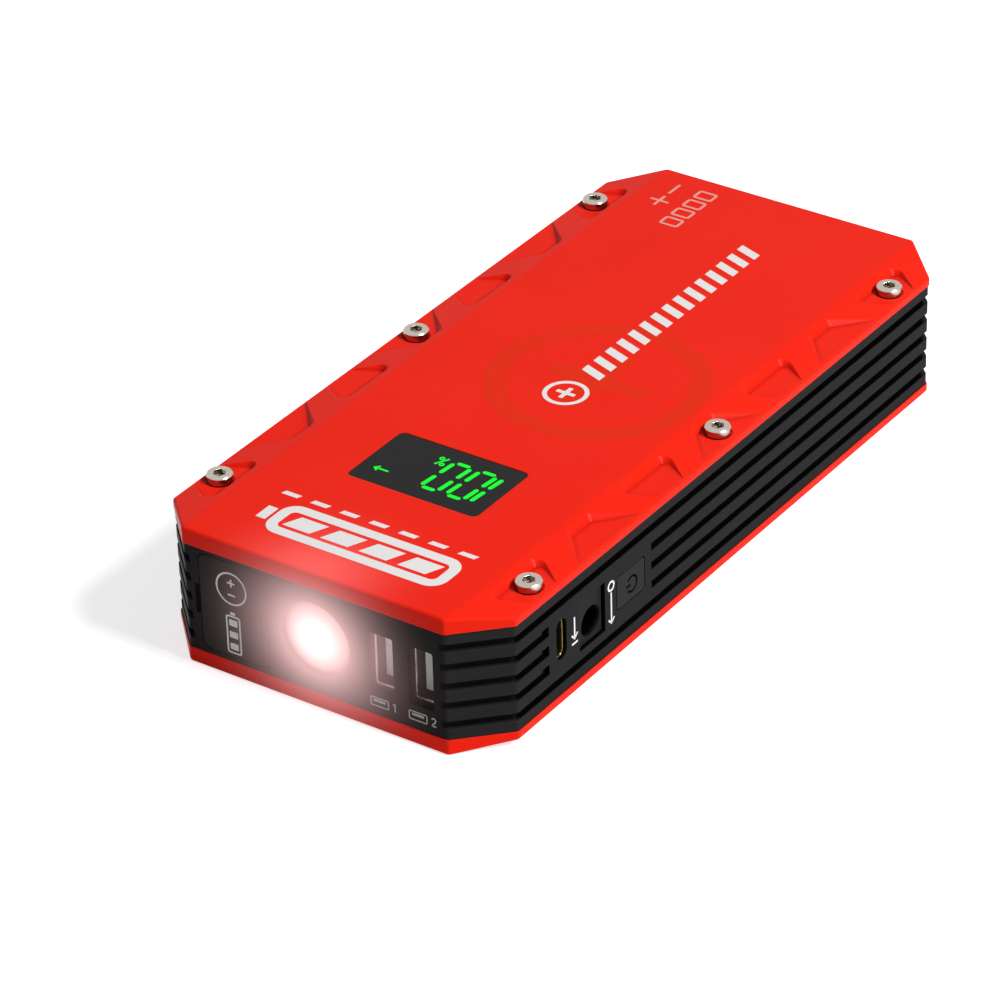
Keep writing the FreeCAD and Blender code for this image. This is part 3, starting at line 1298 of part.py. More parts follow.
def make_leads():
    """Two heavy leads, each swept along an S bend from a contact's tail to the tab board."""
    tail = f"({front_inner} - Sizes.socket_long - Sizes.contact_tail)"
    for label, side, turn in (("lead_positive", "", "-"), ("lead_negative", "-", "")):
        lead = new_body(label, ("-Sizes.socket_x", f"-{tail}",
                                f"{middle_z} + {side}Sizes.contact_pitch / 2"))
        shift = f"{turn}Sizes.lead_shift"
        end = f"({tail} - {main_back})"
        path = new_sketch(lead, "XY_Plane")
        draw_outline(path, [
            ("0", "0"), ("0", "Sizes.lead_straight", "Sizes.lead_bend"),
            (shift, f"{end} - Sizes.lead_straight", "Sizes.lead_bend"), (shift, end),
        ], closed=False)
        section = new_sketch(lead, "XZ_Plane")
        draw_circle(section, "0", "0", "Sizes.lead_diameter / 2")
        doc.recompute()
        sweep = lead.newObject("PartDesign::AdditivePipe", label + "_sweep")
        sweep.Profile = section
        sweep.Spine = (path, [f"Edge{index}" for index in range(1, len(path.Shape.Edges) + 1)])
        path.Visibility = False
        section.Visibility = False
        doc.recompute()


def write_parts():
    """Check every object and every node, then write one file for each node."""
    doc.recompute()
    failed = [item.Name for item in doc.Objects if "Invalid" in item.State or "Error" in item.State]
    if failed:
        raise ValueError("failed: " + ", ".join(failed))
    os.makedirs("parts", exist_ok=True)
    for node in nodes:
        shape = node.Shape
        if shape.isNull() or not shape.isValid() or not shape.Solids:
            raise ValueError(f"{node.Label} is not a valid solid")
        shape.exportStep(f"parts/{node.Label}.step")
        print(f"{node.Label}: {len(shape.Solids)} solids, {shape.Volume:.1f} mm3")


make_top_cover()
make_bottom_cover()
make_middle_frame()
make_cover_screws()
make_thread_inserts()
make_board_screws()
make_display()
make_torch()
make_jump_socket()
make_socket_cap()
make_usb_a()
make_usb_c()
make_power_jack()
make_button()
make_boards()
make_components()
make_cells()
make_leads()
write_parts()
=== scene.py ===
import bpy
import math
import numpy as np
from mathutils import Matrix, Vector


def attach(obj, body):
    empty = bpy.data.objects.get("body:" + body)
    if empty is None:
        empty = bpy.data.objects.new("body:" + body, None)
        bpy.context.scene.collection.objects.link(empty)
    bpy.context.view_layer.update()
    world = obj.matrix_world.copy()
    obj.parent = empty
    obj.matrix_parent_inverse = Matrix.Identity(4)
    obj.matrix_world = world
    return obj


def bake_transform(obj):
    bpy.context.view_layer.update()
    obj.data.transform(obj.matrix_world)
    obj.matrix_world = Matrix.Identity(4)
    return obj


# Dresses the jump starter pack: finishes for every solid, the lit display and torch, the
# printed marks, then the studio. Metres, +Z up, torch end towards -Y.
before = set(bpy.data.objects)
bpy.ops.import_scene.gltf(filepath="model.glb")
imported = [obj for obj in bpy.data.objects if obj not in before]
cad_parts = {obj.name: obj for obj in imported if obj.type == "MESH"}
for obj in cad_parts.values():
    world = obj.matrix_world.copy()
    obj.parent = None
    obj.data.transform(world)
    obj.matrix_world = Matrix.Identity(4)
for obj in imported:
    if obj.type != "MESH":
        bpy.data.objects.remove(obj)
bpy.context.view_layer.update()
mm = 0.001


# Shader maths. A Wire is one socket, and an expression on wires adds its Math nodes
class Wire:
    def __init__(self, graph, socket):
        self.graph = graph
        self.socket = socket

    def math(self, operation, *others):
        return self.graph.node("ShaderNodeMath", {"operation": operation}, [self, *others])

    def __add__(self, other):
        return self.math("ADD", other)

    def __radd__(self, other):
        return self.math("ADD", other)

    def __sub__(self, other):
        return self.math("SUBTRACT", other)

    def __rsub__(self, other):
        return self.graph.node("ShaderNodeMath", {"operation": "SUBTRACT"}, [other, self])

    def __mul__(self, other):
        return self.math("MULTIPLY", other)

    def __rmul__(self, other):
        return self.math("MULTIPLY", other)

    def __pow__(self, other):
        return self.math("POWER", other)

    def __gt__(self, other):
        return self.math("GREATER_THAN", other)

    def __lt__(self, other):
        return self.math("LESS_THAN", other)

    # Straight ramp from 0 at low to 1 at high, held at 0 and 1 beyond them
    def ramp(self, low, high):
        inputs = {"Value": self, "From Min": low, "From Max": high}
        return self.graph.node("ShaderNodeMapRange", {"clamp": True}, inputs)

    # One coordinate of a place, by its number
    def part(self, axis):
        return self.graph.node("ShaderNodeSeparateXYZ", {}, [self], out=axis)


class Graph:
    # A node tree, and one method that adds any node with its settings and inputs
    def __init__(self, tree):
        self.tree = tree

    def node(self, kind, settings=None, inputs=(), out=0):
        made = self.tree.nodes.new(kind)
        for key, value in (settings or {}).items():
            setattr(made, key, value)
        pairs = inputs.items() if isinstance(inputs, dict) else enumerate(inputs)
        for key, value in pairs:
            self.feed(made.inputs[key], value)
        return Wire(self, made.outputs[out])

    def feed(self, target, value):
        if isinstance(value, Wire):
            self.tree.links.new(value.socket, target)
        else:
            target.default_value = value

    # A Mix node's colours are its sockets 6 and 7, and its mixed colour is output 2
    def mix(self, factor, first, second):
        return self.node("ShaderNodeMix", {"data_type": "RGBA"}, {0: factor, 6: first, 7: second}, out=2)

    # 1 where the eye, a mirror or a glass looks straight at it, and 0 for soft light
    def seenPlainly(self):
        ways = ("Is Camera Ray", "Is Glossy Ray", "Is Transmission Ray")
        eye, mirror, glass = (self.node("ShaderNodeLightPath", out=way) for way in ways)
        return eye.math("MAXIMUM", mirror).math("MAXIMUM", glass)


def tone(red, green, blue):
    # An opaque colour from its linear parts
    return (red, green, blue, 1.0)


def shade(colour, level):
    # The same colour with each part times level, at most 1
    return tuple(min(1.0, part * level) for part in colour[:3]) + (1.0,)


# Rays that look for edges and nooks, and 1 minus the normals' cosine on a flat and on an edge
raySamples = 4
edgeTurn = (0.01, 0.22)
black = tone(0.0, 0.0, 0.0)
white = tone(1.0, 1.0, 1.0)


class Finish(Graph):
    # A material around its Principled shader. Soften is the radius that its edges look
    # rounded by, and what else is fixed goes to the shader's own sockets
    def __init__(self, name, soften=0.0, **fixed):
        self.material = bpy.data.materials.new(name)
        self.material.use_nodes = True
        super().__init__(self.material.node_tree)
        self.shader = next(n for n in self.tree.nodes if n.type == "BSDF_PRINCIPLED")
        for socket, value in fixed.items():
            self.set(socket.replace("_", " "), value)
        self.place = self.node("ShaderNodeTexCoord", out="Object")
        self.rounded = None
        if soften:
            self.rounded = self.node("ShaderNodeBevel", {"samples": raySamples}, {"Radius": soften})

    def set(self, socket, value):
        self.feed(self.shader.inputs[socket], value)

    # Cloudy noise around 0.5, a cell of about size metres
    def noise(self, size, detail, place=None):
        inputs = {"Vector": place or self.place, "Scale": 1.0 / size, "Detail": detail}
        return self.node("ShaderNodeTexNoise", {}, inputs)

    # Rounded grains, each about size metres, 0 at their middles
    def grains(self, size):
        inputs = {"Vector": self.place, "Scale": 1.0 / size}
        return self.node("ShaderNodeTexVoronoi", {"feature": "F1"}, inputs, out="Distance")

    # Scales the place along the axes before a pattern reads it
    def stretch(self, x, y, z):
        return self.node("ShaderNodeMapping", {}, {"Vector": self.place, "Scale": (x, y, z)})

    # Distance of the place from a point
    def away(self, point):
        settings = {"operation": "DISTANCE"}
        return self.node("ShaderNodeVectorMath", settings, [self.place, point], out="Value")

    # 1 minus the cosine between the rounded and the plain normal, spread to run from 0 on
    # flats to 1 on sharp edges
    def edges(self):
        plain = self.node("ShaderNodeNewGeometry", out="Normal")
        settings = {"operation": "DOT_PRODUCT"}
        dot = self.node("ShaderNodeVectorMath", settings, [self.rounded, plain], out="Value")
        return (1.0 - dot).ramp(*edgeTurn)

    # 1 in the open, less the more of the surface's own walls stand within reach metres
    def nooks(self, reach):
        settings = {"samples": raySamples, "only_local": True}
        return self.node("ShaderNodeAmbientOcclusion", settings, {"Distance": reach}, out="AO")

    # Height in metres above the surface, on top of the softened edges
    def bump(self, height):
        inputs = {"Height": height, "Strength": 1.0, "Distance": 1.0}
        if self.rounded:
            inputs["Normal"] = self.rounded
        self.set("Normal", self.node("ShaderNodeBump", {}, inputs))


midHeight = 15.85 * mm
panelFace = -88.75 * mm
torch = {"centre": (0.0, panelFace, midHeight), "hot": tone(1.0, 0.985, 0.975),
         "halo": tone(1.0, 0.62, 0.61), "near": 4.0 * mm, "far": 40.0 * mm, "fade": 4.6, "power": 1.4}


def haze(f):
    # Painted glow round the lit torch, laid on nearby surfaces as emission: one minus the ramp from near to
    # far, to a power
    fall = (1.0 - f.away(torch["centre"]).ramp(torch["near"], torch["far"])) ** torch["fade"]
    return f.mix(fall, black, torch["halo"])


def addHaze(f, share):
    # The haze is painted glow, too faint to light other things, so it isn't sampled as a lamp
    f.set("Emission Color", haze(f))
    f.set("Emission Strength", torch["power"] * share)
    f.material.cycles.emission_sampling = "NONE"


paint = {"red": tone(0.84, 0.018, 0.006), "deep": tone(0.79, 0.013, 0.005), "edge": tone(1.0, 0.06, 0.024),
         "shadeTone": tone(0.25, 0.001, 0.001), "gloss": 0.03, "soften": 0.22 * mm, "driftSize": 30.0 * mm,
         "driftRange": (0.35, 0.65), "driftShare": 0.35, "edgeShare": 0.45, "nookShade": 1.6 * mm,
         "shaded": (0.08, 0.34), "roughness": 0.28, "cloudSize": 6.0 * mm, "cloudRough": 0.08,
         "fineSize": 0.6 * mm, "fineRough": 0.04, "peelSize": 1.1 * mm, "peelHeight": 0.004 * mm,
         "grainSize": 0.22 * mm, "grainHeight": 0.0012 * mm}


def makeRedPaint(name):
    # Colour drifts between two reds over centimetres, with a painted highlight on the edges and
    # painted shade in the nooks under the pockets' walls. Orange peel and a fine grain add up to the height
    p = paint
    f = Finish(name, soften=p["soften"], IOR=1.5, Specular_IOR_Level=p["gloss"])
    drift = f.noise(p["driftSize"], detail=2.0).ramp(*p["driftRange"]) * p["driftShare"]
    # Painted highlight: the edges are mixed towards a lighter red
    colour = f.mix(f.edges() * p["edgeShare"], f.mix(drift, p["red"], p["deep"]), p["edge"])
    # Painted shade: dark red where ambient occlusion finds the surface's own walls within reach
    nookShade = (1.0 - f.nooks(p["nookShade"])).ramp(*p["shaded"])
    f.set("Base Color", f.mix(nookShade, colour, p["shadeTone"]))
    cloud = p["cloudRough"] * (f.noise(p["cloudSize"], detail=3.0) - 0.5)
    f.set("Roughness", p["roughness"] + cloud + p["fineRough"] * f.noise(p["fineSize"], detail=1.0))
    peel = f.noise(p["peelSize"], detail=2.0) * p["peelHeight"]
    f.bump(peel + f.noise(p["grainSize"], detail=1.0) * p["grainHeight"])
    return f


# The pack's outline; shade is the colour painted as shade deep inside it
outline = {"width": 83.0 * mm, "length": 178.0 * mm, "cut": 10.0 * mm, "cornerShare": 0.25,
           "shade": tone(0.001, 0.001, 0.001)}


def depthInside(f):
    # How far a place lies inside the eight-sided outline: the least of its distances from the
    # side, the end and the cut corner. The corner's counts for less, where more light gets in
    x, y = f.place.part(0).math("ABSOLUTE"), f.place.part(1).math("ABSOLUTE")
    run, reach = outline["width"] / 2, outline["length"] / 2
    corner = (run + reach - outline["cut"] - (x + y)) * outline["cornerShare"]
    return (run - x).math("MINIMUM", reach - y).math("MINIMUM", corner)


plastic = {"gloss": 0.012, "cloudSize": 12.0 * mm, "cloudShare": 0.12, "cloudRough": 0.12,
           "rubSize": 1.5 * mm, "rubRange": (0.35, 0.75), "rubRough": 0.08, "pitSize": 0.6, "pitShare": 0.5}
plastics = {
    "framePlastic": {"base": tone(0.017, 0.017, 0.017), "worn": tone(0.065, 0.065, 0.066),
                     "spark": 0.34 * mm, "height": 0.010 * mm, "roughness": 0.40,
                     "shadeDepths": (0.12 * mm, 0.6 * mm)},
    "capRubber": {"base": tone(0.019, 0.019, 0.019), "worn": tone(0.055, 0.055, 0.056),
                  "spark": 0.5 * mm, "height": 0.006 * mm, "roughness": 0.42, "rubAndHighlightShare": 0.3},
    "buttonPlastic": {"base": tone(0.020, 0.020, 0.020), "worn": tone(0.07, 0.07, 0.071),
                      "spark": 0.4 * mm, "height": 0.006 * mm, "roughness": 0.38, "rubAndHighlightShare": 0.4,
                      "shadeDepths": (0.36 * mm, 0.60 * mm)},
    "partBlack": {"base": tone(0.016, 0.016, 0.016), "worn": tone(0.045, 0.045, 0.045),
                  "spark": 0.3 * mm, "height": 0.010 * mm, "roughness": 0.5},
    "jackBlack": {"base": tone(0.016, 0.016, 0.016), "worn": tone(0.045, 0.045, 0.045),
                  "spark": 0.3 * mm, "height": 0.006 * mm, "roughness": 0.4,
                  "shadeDepths": (1.3 * mm, 2.4 * mm)},
    "moduleGrey": {"base": tone(0.05, 0.05, 0.055), "worn": tone(0.1, 0.1, 0.1),
                   "spark": 0.4 * mm, "height": 0.010 * mm, "roughness": 0.5},
    "tongueGrey": {"base": tone(0.84, 0.86, 0.83), "worn": tone(0.92, 0.93, 0.90),
                   "spark": 0.4 * mm, "height": 0.005 * mm, "roughness": 0.4, "soften": 0.15 * mm},
    "socketBlue": {"base": tone(0.012, 0.03, 0.16), "worn": tone(0.04, 0.07, 0.25),
                   "spark": 0.5 * mm, "height": 0.010 * mm, "roughness": 0.45},
    "ferrite": {"base": tone(0.07, 0.07, 0.075), "worn": tone(0.14, 0.14, 0.14),
                "spark": 0.2 * mm, "height": 0.020 * mm, "roughness": 0.6},
}


def makePlastic(name, base, worn, spark, height, roughness, rubAndHighlightShare=0.5, soften=0.25 * mm, shadeDepths=None):
    # Moulded plastic: spark-eroded grain as small rounded cells, cloudy gloss, and edges lighter
    # where the noise lets them, partly rubbed wear and partly painted highlight. Between the two given
    # depths it turns blacker, as painted shade in grooves, gaps and bores
    p = plastic
    f = Finish(name, soften=soften, IOR=1.48, Specular_IOR_Level=p["gloss"])
    cloud = f.noise(p["cloudSize"], detail=4.0)
    # Edges lighter: partly rubbed wear, partly painted highlight
    rubAndHighlight = f.edges() * f.noise(p["rubSize"], detail=3.0).ramp(*p["rubRange"]) * rubAndHighlightShare
    colour = f.mix(rubAndHighlight, f.mix(cloud * p["cloudShare"], base, worn), worn)
    # Painted shade: blacker with depth inside the outline
    if shadeDepths:
        colour = f.mix(depthInside(f).ramp(*shadeDepths), colour, outline["shade"])
    f.set("Base Color", colour)
    f.set("Roughness", roughness + p["cloudRough"] * (cloud - 0.5) - p["rubRough"] * rubAndHighlight)
    f.bump((f.grains(spark) + p["pitShare"] * f.noise(spark * p["pitSize"], detail=1.0)) * height)
    return f


metal = {"soften": 0.12 * mm, "along": 0.12, "patchSize": 4.0 * mm, "patchRange": (0.4, 0.7),
         "stained": 0.62, "patchRough": 0.16, "lineRough": 0.10, "rimRough": 0.06}
goldColour = tone(0.90, 0.66, 0.28)
metals = {
    "nickel": {"base": tone(0.80, 0.78, 0.74), "roughness": 0.16},
    "brass": {"base": tone(0.72, 0.52, 0.22), "roughness": 0.3},
    "gold": {"base": goldColour, "roughness": 0.2},
    "tin": {"base": tone(0.68, 0.68, 0.67), "roughness": 0.3},
    "mirror": {"base": tone(0.86, 0.86, 0.86), "roughness": 0.06, "stain": 0.05, "height": 0.0003 * mm},
    "pouch": {"base": tone(0.62, 0.63, 0.66), "roughness": 0.38, "streak": 2.0 * mm, "stain": 0.15,
              "height": 0.004 * mm},
}


def makeMetal(name, base, roughness, streak=0.4 * mm, stain=0.25, height=0.0015 * mm):
    # Plated or rolled metal: long fine scratches, duller patches, edges polished brighter
    m = metal
    f = Finish(name, soften=m["soften"], Metallic=1.0)
    lines = f.noise(streak, detail=3.0, place=f.stretch(1.0, m["along"], 1.0))
    patches = f.noise(m["patchSize"], detail=4.0).ramp(*m["patchRange"])
    rim = f.edges()
    f.set("Base Color", f.mix(patches * stain * (1.0 - rim), base, shade(base, m["stained"])))
    scratched = m["lineRough"] * (lines - 0.5)
    f.set("Roughness", roughness + m["patchRough"] * patches + scratched - m["rimRough"] * rim)
    f.bump(lines * height)
    return f


screwMetal = {"face": tone(0.54, 0.48, 0.42), "rim": tone(0.97, 0.95, 0.90), "shadeTone": tone(0.13, 0.11, 0.08),
              "across": 37.5 * mm, "pitch": 68.55 * mm, "socket": 1.5 * mm, "top": 15.95 * mm,
              "floor": 15.2 * mm, "sideShade": 0.25, "socketShade": 0.55, "soften": 0.09 * mm,
              "patchSize": 2.0 * mm, "patchShare": 0.4, "stained": 0.7, "roughness": 0.14,
              "patchRough": 0.12, "pitSize": 0.3 * mm, "pitHeight": 0.0012 * mm}


def makeScrewMetal(name):
    # Polished nickel with bright rims, partly polish and partly painted highlight. Below its head's top
    # it is darkened with depth as painted shade, and more within the socket: the rows repeat by pitch along
    # y, and both ends mirror about mid height
    s = screwMetal
    f = Finish(name, soften=s["soften"], Metallic=1.0)
    x, y, z = (f.place.part(axis) for axis in range(3))
    fromRow = ((y.math("ABSOLUTE") + s["pitch"] / 2).math("MODULO", s["pitch"])) - s["pitch"] / 2
    fromSide = x.math("ABSOLUTE") - s["across"]
    inSocket = (fromRow * fromRow + fromSide * fromSide) ** 0.5 < s["socket"]
    depth = 1.0 - (z - midHeight).math("ABSOLUTE").ramp(s["floor"], s["top"])
    patches = f.noise(s["patchSize"], detail=3.0)
    worn = f.mix(patches * s["patchShare"], s["face"], shade(s["face"], s["stained"]))
    # Painted shade: darker with depth on the head's side and more in the socket, and a painted highlight on
    # the rims
    depthShade = depth * (s["sideShade"] + s["socketShade"] * inSocket)
    f.set("Base Color", f.mix(depthShade, f.mix(f.edges(), worn, s["rim"]), s["shadeTone"]))
    f.set("Roughness", s["roughness"] + s["patchRough"] * patches)
    f.bump(f.noise(s["pitSize"], detail=2.0) * s["pitHeight"])
    return f


portMetal = {"soften": 0.1 * mm, "lineSize": 0.4 * mm, "lineShare": 0.2, "lineShade": 0.7, "deepShade": 0.10,
             "roughness": 0.2, "lineRough": 0.1, "deepRough": 0.2, "lineHeight": 0.0015 * mm}
portMetals = {
    "portSteel": {"base": tone(0.74, 0.74, 0.73), "axis": 1, "bright": -86.45 * mm, "shadedDeep": -86.15 * mm},
    "portGold": {"base": goldColour, "axis": 0, "bright": 40.42 * mm, "shadedDeep": 40.1 * mm},
}


def makePortMetal(name, base, axis, bright, shadedDeep):
    # A port's shell: its own colour at the rim, and darker along the axis going in, where only
    # plugs reach, as painted shade inside the port
    p = portMetal
    f = Finish(name, soften=p["soften"], Metallic=1.0)
    depth = f.place.part(axis).ramp(bright, shadedDeep)
    lines = f.noise(p["lineSize"], detail=3.0)
    clean = f.mix(lines * p["lineShare"], base, shade(base, p["lineShade"]))
    # Painted shade: darker deeper in the port
    f.set("Base Color", f.mix(depth, clean, shade(base, p["deepShade"])))
    f.set("Roughness", p["roughness"] + p["lineRough"] * lines + p["deepRough"] * depth)
    f.bump(lines * p["lineHeight"])
    return f


board = {"mask": tone(0.012, 0.085, 0.035), "copper": tone(0.03, 0.17, 0.07), "coat": 0.4,
         "coatRough": 0.12, "track": 3.5 * mm, "trackShare": 0.42, "trackHeight": 0.02 * mm,
         "roughness": 0.30, "cloudSize": 3.0 * mm, "cloudRough": 0.2, "grainSize": 0.4 * mm,
         "grainHeight": 0.003 * mm}


def makeBoard(name):
    # Solder mask over copper islands, which stand a hair above the mask
    b = board
    f = Finish(name, IOR=1.5, Coat_Weight=b["coat"], Coat_Roughness=b["coatRough"])
    tracks = f.grains(b["track"]) > b["trackShare"]
    f.set("Base Color", f.mix(tracks, b["mask"], b["copper"]))
    f.set("Roughness", b["roughness"] + b["cloudRough"] * f.noise(b["cloudSize"], detail=3.0))
    f.bump(tracks * b["trackHeight"] + f.noise(b["grainSize"], detail=2.0) * b["grainHeight"])
    return f


smoked = {"colour": tone(0.018, 0.018, 0.018), "cloudy": tone(0.024, 0.024, 0.024), "gloss": 0.03,
          "hairSize": 0.3 * mm, "along": 0.05, "hairRange": (0.62, 0.7), "hairRough": 0.12,
          "hairDepth": 0.0006 * mm, "cloudSize": 10.0 * mm, "cloudShare": 0.4, "roughness": 0.14,
          "wipeSize": 4.0 * mm, "wipeRough": 0.06}


def makeWindow(name):
    # Polished smoked plate, faintly cloudy, with hairline scratches that dull it
    s = smoked
    f = Finish(name, IOR=1.49, Specular_IOR_Level=s["gloss"])
    hair = f.noise(s["hairSize"], detail=2.0, place=f.stretch(s["along"], 1.0, 1.0)).ramp(*s["hairRange"])
    cloud = f.noise(s["cloudSize"], detail=3.0) * s["cloudShare"]
    f.set("Base Color", f.mix(cloud, s["colour"], s["cloudy"]))
    wiped = s["wipeRough"] * f.noise(s["wipeSize"], detail=3.0)
    f.set("Roughness", s["roughness"] + s["hairRough"] * hair + wiped)
    f.bump(hair * -s["hairDepth"])
    return f


lens = {"core": 8.4 * mm, "whiten": 0.4, "dim": tone(0.02, 0.018, 0.018), "pale": tone(0.3, 0.3, 0.3),
        "gloss": 0.03, "roughness": 0.08, "cloudSize": 2.0 * mm, "cloudRough": 0.08, "facet": 1.2 * mm,
        "facetHeight": 0.02 * mm}


def makeLens(name):
    # Lit lens: the haze, blended to white towards its middle
    s = lens
    f = Finish(name, IOR=1.49, Specular_IOR_Level=s["gloss"])
    core = s["whiten"] * (1.0 - f.away(torch["centre"]).ramp(0.0, s["core"]))
    f.set("Base Color", f.mix(core, s["dim"], s["pale"]))
    f.set("Roughness", s["roughness"] + s["cloudRough"] * f.noise(s["cloudSize"], detail=2.0))
    f.set("Emission Color", f.mix(core, haze(f), torch["hot"]))
    f.set("Emission Strength", torch["power"])
    f.bump(f.grains(s["facet"]) * s["facetHeight"])
    return f


glow = {"gloss": 0.1, "spread": 0.6 * mm, "level": 0.85, "uneven": 0.3, "unlit": (0.1, 0.3),
        "roughness": 0.35, "unevenRough": 0.1, "grainHeight": 0.002 * mm}
glows = {
    "emitterGlow": {"colour": tone(1.0, 0.96, 0.9), "power": 6.0},
    "digitGlow": {"colour": tone(0.0, 1.0, 0.03), "power": 0.84},
}


def makeGlow(name, colour, power):
    # Light from a segment or chip, a little uneven over its face
    g = glow
    f = Finish(name, Specular_IOR_Level=g["gloss"])
    uneven = g["level"] + g["uneven"] * (f.noise(g["spread"], detail=2.0) - 0.5)
    low, high = g["unlit"]
    f.set("Base Color", f.mix(uneven, shade(colour, low), shade(colour, high)))
    f.set("Roughness", g["roughness"] + g["unevenRough"] * uneven)
    f.set("Emission Color", f.mix(uneven, black, colour))
    f.set("Emission Strength", power)
    f.bump(f.noise(g["spread"], detail=1.0) * g["grainHeight"])
    return f


ink = {"coverSize": 0.7 * mm, "coverRange": (0.3, 0.75), "coverShare": 0.4, "coverShade": 0.86,
       "roughness": 0.42, "thinRough": 0.12, "grainSize": 0.3 * mm, "grainHeight": 0.002 * mm}
inks = {
    "whiteInk": {"colour": tone(0.80, 0.78, 0.77)},
    "paleInk": {"colour": tone(0.78, 0.36, 0.30)},
    "greyInk": {"colour": tone(0.42, 0.42, 0.42)},
    "symbolShade": {"colour": tone(0.002, 0.002, 0.002), "gloss": 0.0},
    "redInk": {"colour": tone(0.77, 0.026, 0.006)},
}


def makeInk(name, colour, gloss=0.05):
    # Screen print: slightly uneven cover, and a fine grain in its matt film
    i = ink
    f = Finish(name, IOR=1.45, Specular_IOR_Level=gloss)
    thin = f.noise(i["coverSize"], detail=4.0).ramp(*i["coverRange"])
    f.set("Base Color", f.mix(thin * i["coverShare"], colour, shade(colour, i["coverShade"])))
    f.set("Roughness", i["roughness"] + i["thinRough"] * thin)
    f.bump(f.noise(i["grainSize"], detail=2.0) * i["grainHeight"])
    return f


foam = {"cell": 0.8 * mm, "pit": tone(0.03, 0.03, 0.03), "wall": tone(0.12, 0.12, 0.12),
        "roughness": 0.85, "wallRough": 0.1, "wallHeight": 0.2 * mm}


def makeFoam(name):
    # Closed cells: round pits, darker at their middles
    f = Finish(name, IOR=1.4)
    cells = f.grains(foam["cell"])
    f.set("Base Color", f.mix(cells, foam["pit"], foam["wall"]))
    f.set("Roughness", foam["roughness"] + foam["wallRough"] * cells)
    f.bump(cells * foam["wallHeight"])
    return f


silicone = {"bloomSize": 5.0 * mm, "bloomShare": 0.3, "bloomShade": 1.9, "roughness": 0.5,
            "bloomRough": 0.15, "grainSize": 0.6 * mm, "grainHeight": 0.008 * mm}
silicones = {
    "redSilicone": {"colour": tone(0.45, 0.012, 0.01)},
    "blackSilicone": {"colour": tone(0.02, 0.02, 0.02)},
}


def makeSilicone(name, colour):
    # Soft insulation with a pale bloom in clouds
    s = silicone
    f = Finish(name, IOR=1.42)
    bloom = f.noise(s["bloomSize"], detail=4.0)
    f.set("Base Color", f.mix(bloom * s["bloomShare"], colour, shade(colour, s["bloomShade"])))
    f.set("Roughness", s["roughness"] + s["bloomRough"] * bloom)
    f.bump(f.noise(s["grainSize"], detail=2.0) * s["grainHeight"])
    return f


finishes = {"redPaint": makeRedPaint("redPaint"), "screwNickel": makeScrewMetal("screwNickel"),
            "solderMask": makeBoard("solderMask"), "smokedWindow": makeWindow("smokedWindow"),
            "torchLens": makeLens("torchLens"), "foam": makeFoam("foam")}
for make, looks in ((makePlastic, plastics), (makeMetal, metals), (makePortMetal, portMetals),
                    (makeGlow, glows), (makeInk, inks), (makeSilicone, silicones)):
    for name, look in looks.items():
        finishes[name] = make(name, **look)

# How much of the torch's painted glow each finish near it shows
hazeShares = {"framePlastic": 1.0, "capRubber": 1.0, "greyInk": 1.0, "redPaint": 0.8, "portSteel": 0.8,
              "tongueGrey": 0.5}
for name, share in hazeShares.items():
    addHaze(finishes[name], share)

nodeFinish = {
    "top_cover": "redPaint", "bottom_cover": "redPaint", "middle_frame": "framePlastic",
    "cover_screws": "screwNickel", "thread_inserts": "brass", "board_screws": "nickel",
    "display_window": "smokedWindow", "display_module": "moduleGrey", "display_board": "solderMask",
    "torch_lens": "torchLens", "torch_reflector": "mirror", "torch_board": "solderMask",
    "torch_emitter": "emitterGlow", "jump_socket": "socketBlue", "jump_contacts": "tin",
    "socket_cap": "capRubber", "cap_anchor": "capRubber", "usb_a_shells": "portSteel",
    "usb_a_tongues": "tongueGrey", "usb_a_contacts": "gold", "usb_c_shell": "portGold",
    "usb_c_tongue": "partBlack", "power_jack": "jackBlack", "power_jack_pin": "nickel",
    "power_button": "buttonPlastic", "switch_plunger": "tongueGrey", "button_switch": "partBlack",
    "main_board": "solderMask", "side_board": "solderMask", "board_header": "partBlack",
    "tab_board": "solderMask", "power_transistors": "partBlack", "choke": "ferrite",
    "capacitors": "tin", "controller_chip": "partBlack", "battery_cell_1": "pouch",
    "battery_cell_2": "pouch", "battery_cell_3": "pouch", "cell_tabs": "tin", "foam_pads": "foam",
    "lead_positive": "redSilicone", "lead_negative": "blackSilicone",
}
for name, finish in nodeFinish.items():
    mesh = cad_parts[name].data
    mesh.materials.clear()
    mesh.materials.append(finishes[finish].material)
print("finishes:", len(finishes))


# Printed and lit marks: flat strokes of film on a plane, given by an origin, the direction
# of writing and the direction up the mark
class Plane:
    def __init__(self, origin, right, up):
        self.origin = np.array(origin, float)
        self.right = np.array(right, float)
        self.up = np.array(up, float)
        self.out = np.cross(self.right, self.up)

    # The points u along the writing, v up the mark and lift off the plane
    def at(self, u, v, lift):
        return (self.origin + np.multiply.outer(u, self.right) + np.multiply.outer(v, self.up)
                + np.multiply.outer(lift, self.out))


lidTop = 31.7 * mm
glassTop = 31.6 * mm
sideFace = 41.25 * mm
lid = Plane((0, 0, lidTop), (-1, 0, 0), (0, -1, 0))
lidLong = Plane((0, 0, lidTop), (0, 1, 0), (-1, 0, 0))
glass = Plane((0, 0, glassTop), (-1, 0, 0), (0, -1, 0))
panel = Plane((0, panelFace, midHeight), (1, 0, 0), (0, 0, 1))
side = Plane((sideFace, 0, midHeight), (0, 1, 0), (0, 0, 1))

# The film's thickness, its section as shares of half the stroke's width and of that thickness,
# and the share of the width that a pointed tip keeps
inkFilm = 0.03 * mm
filmAcross = np.array([-1.0, -1.0, -0.94, 0.0, 0.94, 1.0, 1.0])
filmLift = np.array([0.0, 0.8, 1.0, 1.0, 1.0, 0.8, 0.0])
tipShare = 0.02


def gridFaces(rows, columns):
    # Quads between neighbouring points of a rows by columns grid
    index = np.arange(rows * columns).reshape(rows, columns)
    return np.stack([index[:-1, :-1], index[:-1, 1:], index[1:, 1:], index[1:, :-1]], -1).reshape(-1, 4)


